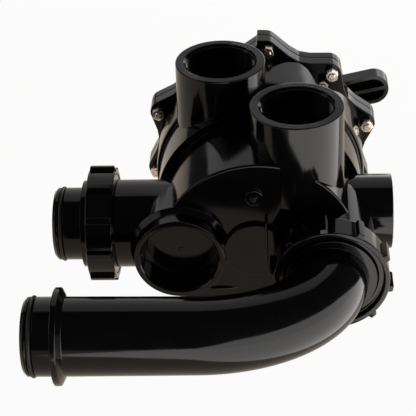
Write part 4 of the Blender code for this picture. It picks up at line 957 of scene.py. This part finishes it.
def cover_fasteners():
    """Place ten bolts with their heads on the cover and ten nuts behind the body's flange."""
    head = COVER_FACE + COVER_FLANGE + SEAT_GAP
    nut_low = -BODY_FLANGE - SEAT_GAP - NUT_HEIGHT
    bolt = hex_block("bolt", head, head + BOLT_HEAD_HEIGHT, ("high",))
    combine(bolt, [threaded_bar("shank", nut_low - BOLT_END, head + BOLT_HEAD_HEIGHT / 2)], "UNION")
    nut = hex_block("nut", nut_low, nut_low + NUT_HEIGHT, ("low", "high"))
    combine(nut, [rod("nut_hole", "Y", nut_low - CUT_OVERRUN, nut_low + NUT_HEIGHT + CUT_OVERRUN,
                      BOLT_RADIUS + SEAT_GAP, SMALL_SEGMENTS)], "DIFFERENCE")
    for k, (x, z) in enumerate(bolt_places()):
        for kind, source in (("bolt", bolt), ("nut", nut)):
            mesh = source.data.copy()
            spin = Matrix.Rotation(BOLT_SPIN * k, 4, "Y")
            mesh.transform(Matrix.Translation((x, 0, z)) @ spin)
            piece = bpy.data.objects.new(f"fixing_{kind}_{k + 1:02d}", mesh)
            bpy.context.scene.collection.objects.link(piece)
            place(piece, STEEL, "valve", "stainless_steel", f"cover_{kind}_{k + 1:02d}")
    bpy.data.objects.remove(bolt)
    bpy.data.objects.remove(nut)


def port_threads():
    """Cut a pipe thread in the mouth of each port."""
    turns = (PORT_BORE_DEPTH - 3 * PORT_CHAMFER) / PORT_PITCH
    ports = (("pump", -PORT_OFFSET, PUMP_PORT_DEPTH, 1), ("return", PORT_OFFSET, RETURN_PORT_DEPTH, 1),
             ("waste", -PORT_OFFSET, RETURN_PORT_DEPTH, -1))
    for name, x, depth, direction in ports:
        start = (PORT_REACH - PORT_CHAMFER) * direction
        ridge = thread(f"{name}_port_thread", "Z", (x, -depth, 0), start, turns, PORT_BORE_RADIUS,
                       -PORT_PITCH * direction, PORT_THREAD_DEPTH)
        place(ridge, PLASTIC, "valve", "black_plastic")


def dress():
    """Build the pieces that show and give the CAD nodes that stay their materials."""
    place(body_moulding(), PLASTIC, "valve", "black_plastic", "valve_body")
    place(cover_moulding(), PLASTIC, "valve", "black_plastic", "valve_cover")
    place(blanking_disc(), PLASTIC, "valve", "black_plastic", "port_blanking_disc")
    place(sprue_stub(), PLASTIC, "valve", "black_plastic")
    port_threads()
    upper_nut = union_nut("upper_nut_moulding", "X", -UPPER_NUT_REACH, (0, -BRANCH_DEPTH, 0), UPPER_NUT_PHASE)
    place(upper_nut, PLASTIC, "upper_nut", "black_plastic", "upper_union_nut")
    lower_nut = union_nut("lower_nut_moulding", "Y", LOWER_NUT_NEAR, (LOWER_X, 0, 0), LOWER_NUT_PHASE)
    place(lower_nut, PLASTIC, "lower_nut", "black_plastic", "lower_union_nut")
    place(upper_tail(), PLASTIC, "upper_tail", "black_plastic", "upper_tailpiece")
    place(elbow(), PLASTIC, "elbow", "black_plastic", "elbow_tube")
    place(tail_ring("upper_tail_ring", UPPER_TAIL_END, -BRANCH_DEPTH), RUBBER, "upper_tail", "black_rubber",
          "upper_tail_o_ring")
    place(tail_ring("elbow_tail_ring", ELBOW_TAIL_END, ELBOW_TAIL_Y), RUBBER, "elbow", "black_rubber",
          "elbow_tail_o_ring")
    place(handle(), PLASTIC, "handle", "black_plastic", "handle")
    cover_fasteners()
    slots = {"black_plastic": PLASTIC, "black_rubber": RUBBER, "stainless_steel": STEEL}
    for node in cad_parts.values():
        for place_slot in node.material_slots:
            known = next((slot for slot in slots if place_slot.name.startswith(slot)), "black_plastic")
            place_slot.material = slots[known]


# Stage, light and camera

def seen_white(tree, camera_share, mirror_share):
    """Return the share of plain white that camera rays see, and that mirrored and transmitted rays see."""
    path = tree.nodes.new("ShaderNodeLightPath")
    shares = (("Is Glossy Ray", mirror_share), ("Is Transmission Ray", mirror_share),
              ("Is Camera Ray", camera_share))
    total = None
    for name, share in shares:
        part = tree.nodes.new("ShaderNodeMath")
        part.operation = "MULTIPLY_ADD"
        part.inputs[1].default_value = share
        part.inputs[2].default_value = 0.0
        tree.links.new(path.outputs[name], part.inputs[0])
        if total is not None:
            tree.links.new(total, part.inputs[2])
        total = part.outputs["Value"]
    return total


def floor_material():
    """Return the pale floor, which keeps a faint shadow of the object."""
    material = bpy.data.materials.new("studio_floor")
    material.use_nodes = True
    tree = material.node_tree
    tree.nodes.clear()
    lit = add_node(tree, "ShaderNodeBsdfDiffuse", Color=FLOOR_COLOUR)
    white = add_node(tree, "ShaderNodeEmission", Strength=1.0)
    path = tree.nodes.new("ShaderNodeLightPath")
    tint = tree.nodes.new("ShaderNodeMix")
    tint.data_type = "RGBA"
    tint.inputs["A"].default_value = WHITE
    tint.inputs["B"].default_value = FLOOR_TINT
    tree.links.new(path.outputs["Is Glossy Ray"], tint.inputs["Factor"])
    tree.links.new(tint.outputs["Result"], white.inputs["Color"])
    both = tree.nodes.new("ShaderNodeMixShader")
    out = tree.nodes.new("ShaderNodeOutputMaterial")
    tree.links.new(seen_white(tree, FLOOR_WHITE_SEEN, FLOOR_WHITE_MIRRORED), both.inputs[0])
    tree.links.new(lit.outputs["BSDF"], both.inputs[1])
    tree.links.new(white.outputs["Emission"], both.inputs[2])
    tree.links.new(both.outputs["Shader"], out.inputs["Surface"])
    return material


def stage():
    """Lay the floor and set the backdrop, which is white behind the object and dim all round it."""
    half = FLOOR_HALF_WIDTH
    level = cad_low.z - SEAT_GAP
    corners = [(-half, -half, level), (half, -half, level), (half, half, level), (-half, half, level)]
    floor = make_piece("studio_floor", corners, [[0, 1, 2, 3]])
    floor.data.materials.append(floor_material())
    world = bpy.data.worlds.new("studio")
    bpy.context.scene.world = world
    world.use_nodes = True
    tree = world.node_tree
    tree.nodes.clear()
    room = add_node(tree, "ShaderNodeBackground", Color=WHITE, Strength=ROOM_GLOW)
    white = add_node(tree, "ShaderNodeBackground", Color=WHITE, Strength=1.0)
    path = tree.nodes.new("ShaderNodeLightPath")
    both = tree.nodes.new("ShaderNodeMixShader")
    out = tree.nodes.new("ShaderNodeOutputWorld")
    tree.links.new(path.outputs["Is Camera Ray"], both.inputs[0])
    tree.links.new(room.outputs["Background"], both.inputs[1])
    tree.links.new(white.outputs["Background"], both.inputs[2])
    tree.links.new(both.outputs["Shader"], out.inputs["Surface"])


def seen_from(turn, rise, distance):
    """Return a place round the object. Turn is measured from straight behind it towards the right."""
    turn = math.radians(turn)
    rise = math.radians(rise)
    level = Vector((math.sin(turn), math.cos(turn), 0)) * math.cos(rise)
    return (cad_low + cad_high) / 2 + (level + Vector((0, 0, math.sin(rise)))) * distance


def add_lamp(name, place_at, target, width, height, glow):
    """Hang one soft box that faces a point. A glow of 1 looks white."""
    lamp = bpy.data.lights.new(name, "AREA")
    lamp.shape = "RECTANGLE"
    lamp.size = width
    lamp.size_y = height
    lamp.energy = math.pi * width * height * glow
    holder = bpy.data.objects.new(name, lamp)
    holder.location = place_at
    holder.rotation_euler = (Vector(target) - Vector(place_at)).to_track_quat("-Z", "Y").to_euler()
    holder.visible_camera = False
    bpy.context.scene.collection.objects.link(holder)


def light_object():
    """Hang the soft boxes round the object, and a slanted one low in front of it on the right."""
    middle = (cad_low + cad_high) / 2
    for name, turn, rise, distance, width, height, glow in SOFT_BOXES:
        add_lamp(name, seen_from(turn, rise, distance), middle, width, height, glow)
    front = seen_from(FRONT_BOX_TURN, 0, FRONT_BOX_DISTANCE)
    front.z = cad_low.z + FRONT_BOX_LEVEL
    aim = front + (middle - front).normalized() + Vector((0, 0, FRONT_BOX_TILT))
    add_lamp("front_soft_box", front, aim, FRONT_BOX_WIDTH, FRONT_BOX_HEIGHT, FRONT_BOX_GLOW)


def add_camera():
    """Set the camera where the photograph was taken from."""
    ahead = Vector((math.sin(CAMERA_HEADING), math.cos(CAMERA_HEADING), 0))
    forward = ahead * math.cos(CAMERA_FALL) - Vector((0, 0, math.sin(CAMERA_FALL)))
    side = Vector((math.cos(CAMERA_HEADING), -math.sin(CAMERA_HEADING), 0))
    top = side.cross(forward)
    right = math.cos(CAMERA_ROLL) * side + math.sin(CAMERA_ROLL) * top
    up = math.cos(CAMERA_ROLL) * top - math.sin(CAMERA_ROLL) * side
    lens = bpy.data.cameras.new("photo_camera")
    lens.angle = 2 * math.atan(FRAME_PIXELS / 2 / FOCAL_PIXELS)
    camera = bpy.data.objects.new("photo_camera", lens)
    turn = Matrix((right, up, -forward)).transposed().to_4x4()
    camera.matrix_world = Matrix.Translation(CAMERA_PLACE) @ turn
    bpy.context.scene.collection.objects.link(camera)
    bpy.context.scene.camera = camera


dress()
stage()
light_object()
add_camera()
bpy.context.scene.view_settings.view_transform = "Standard"
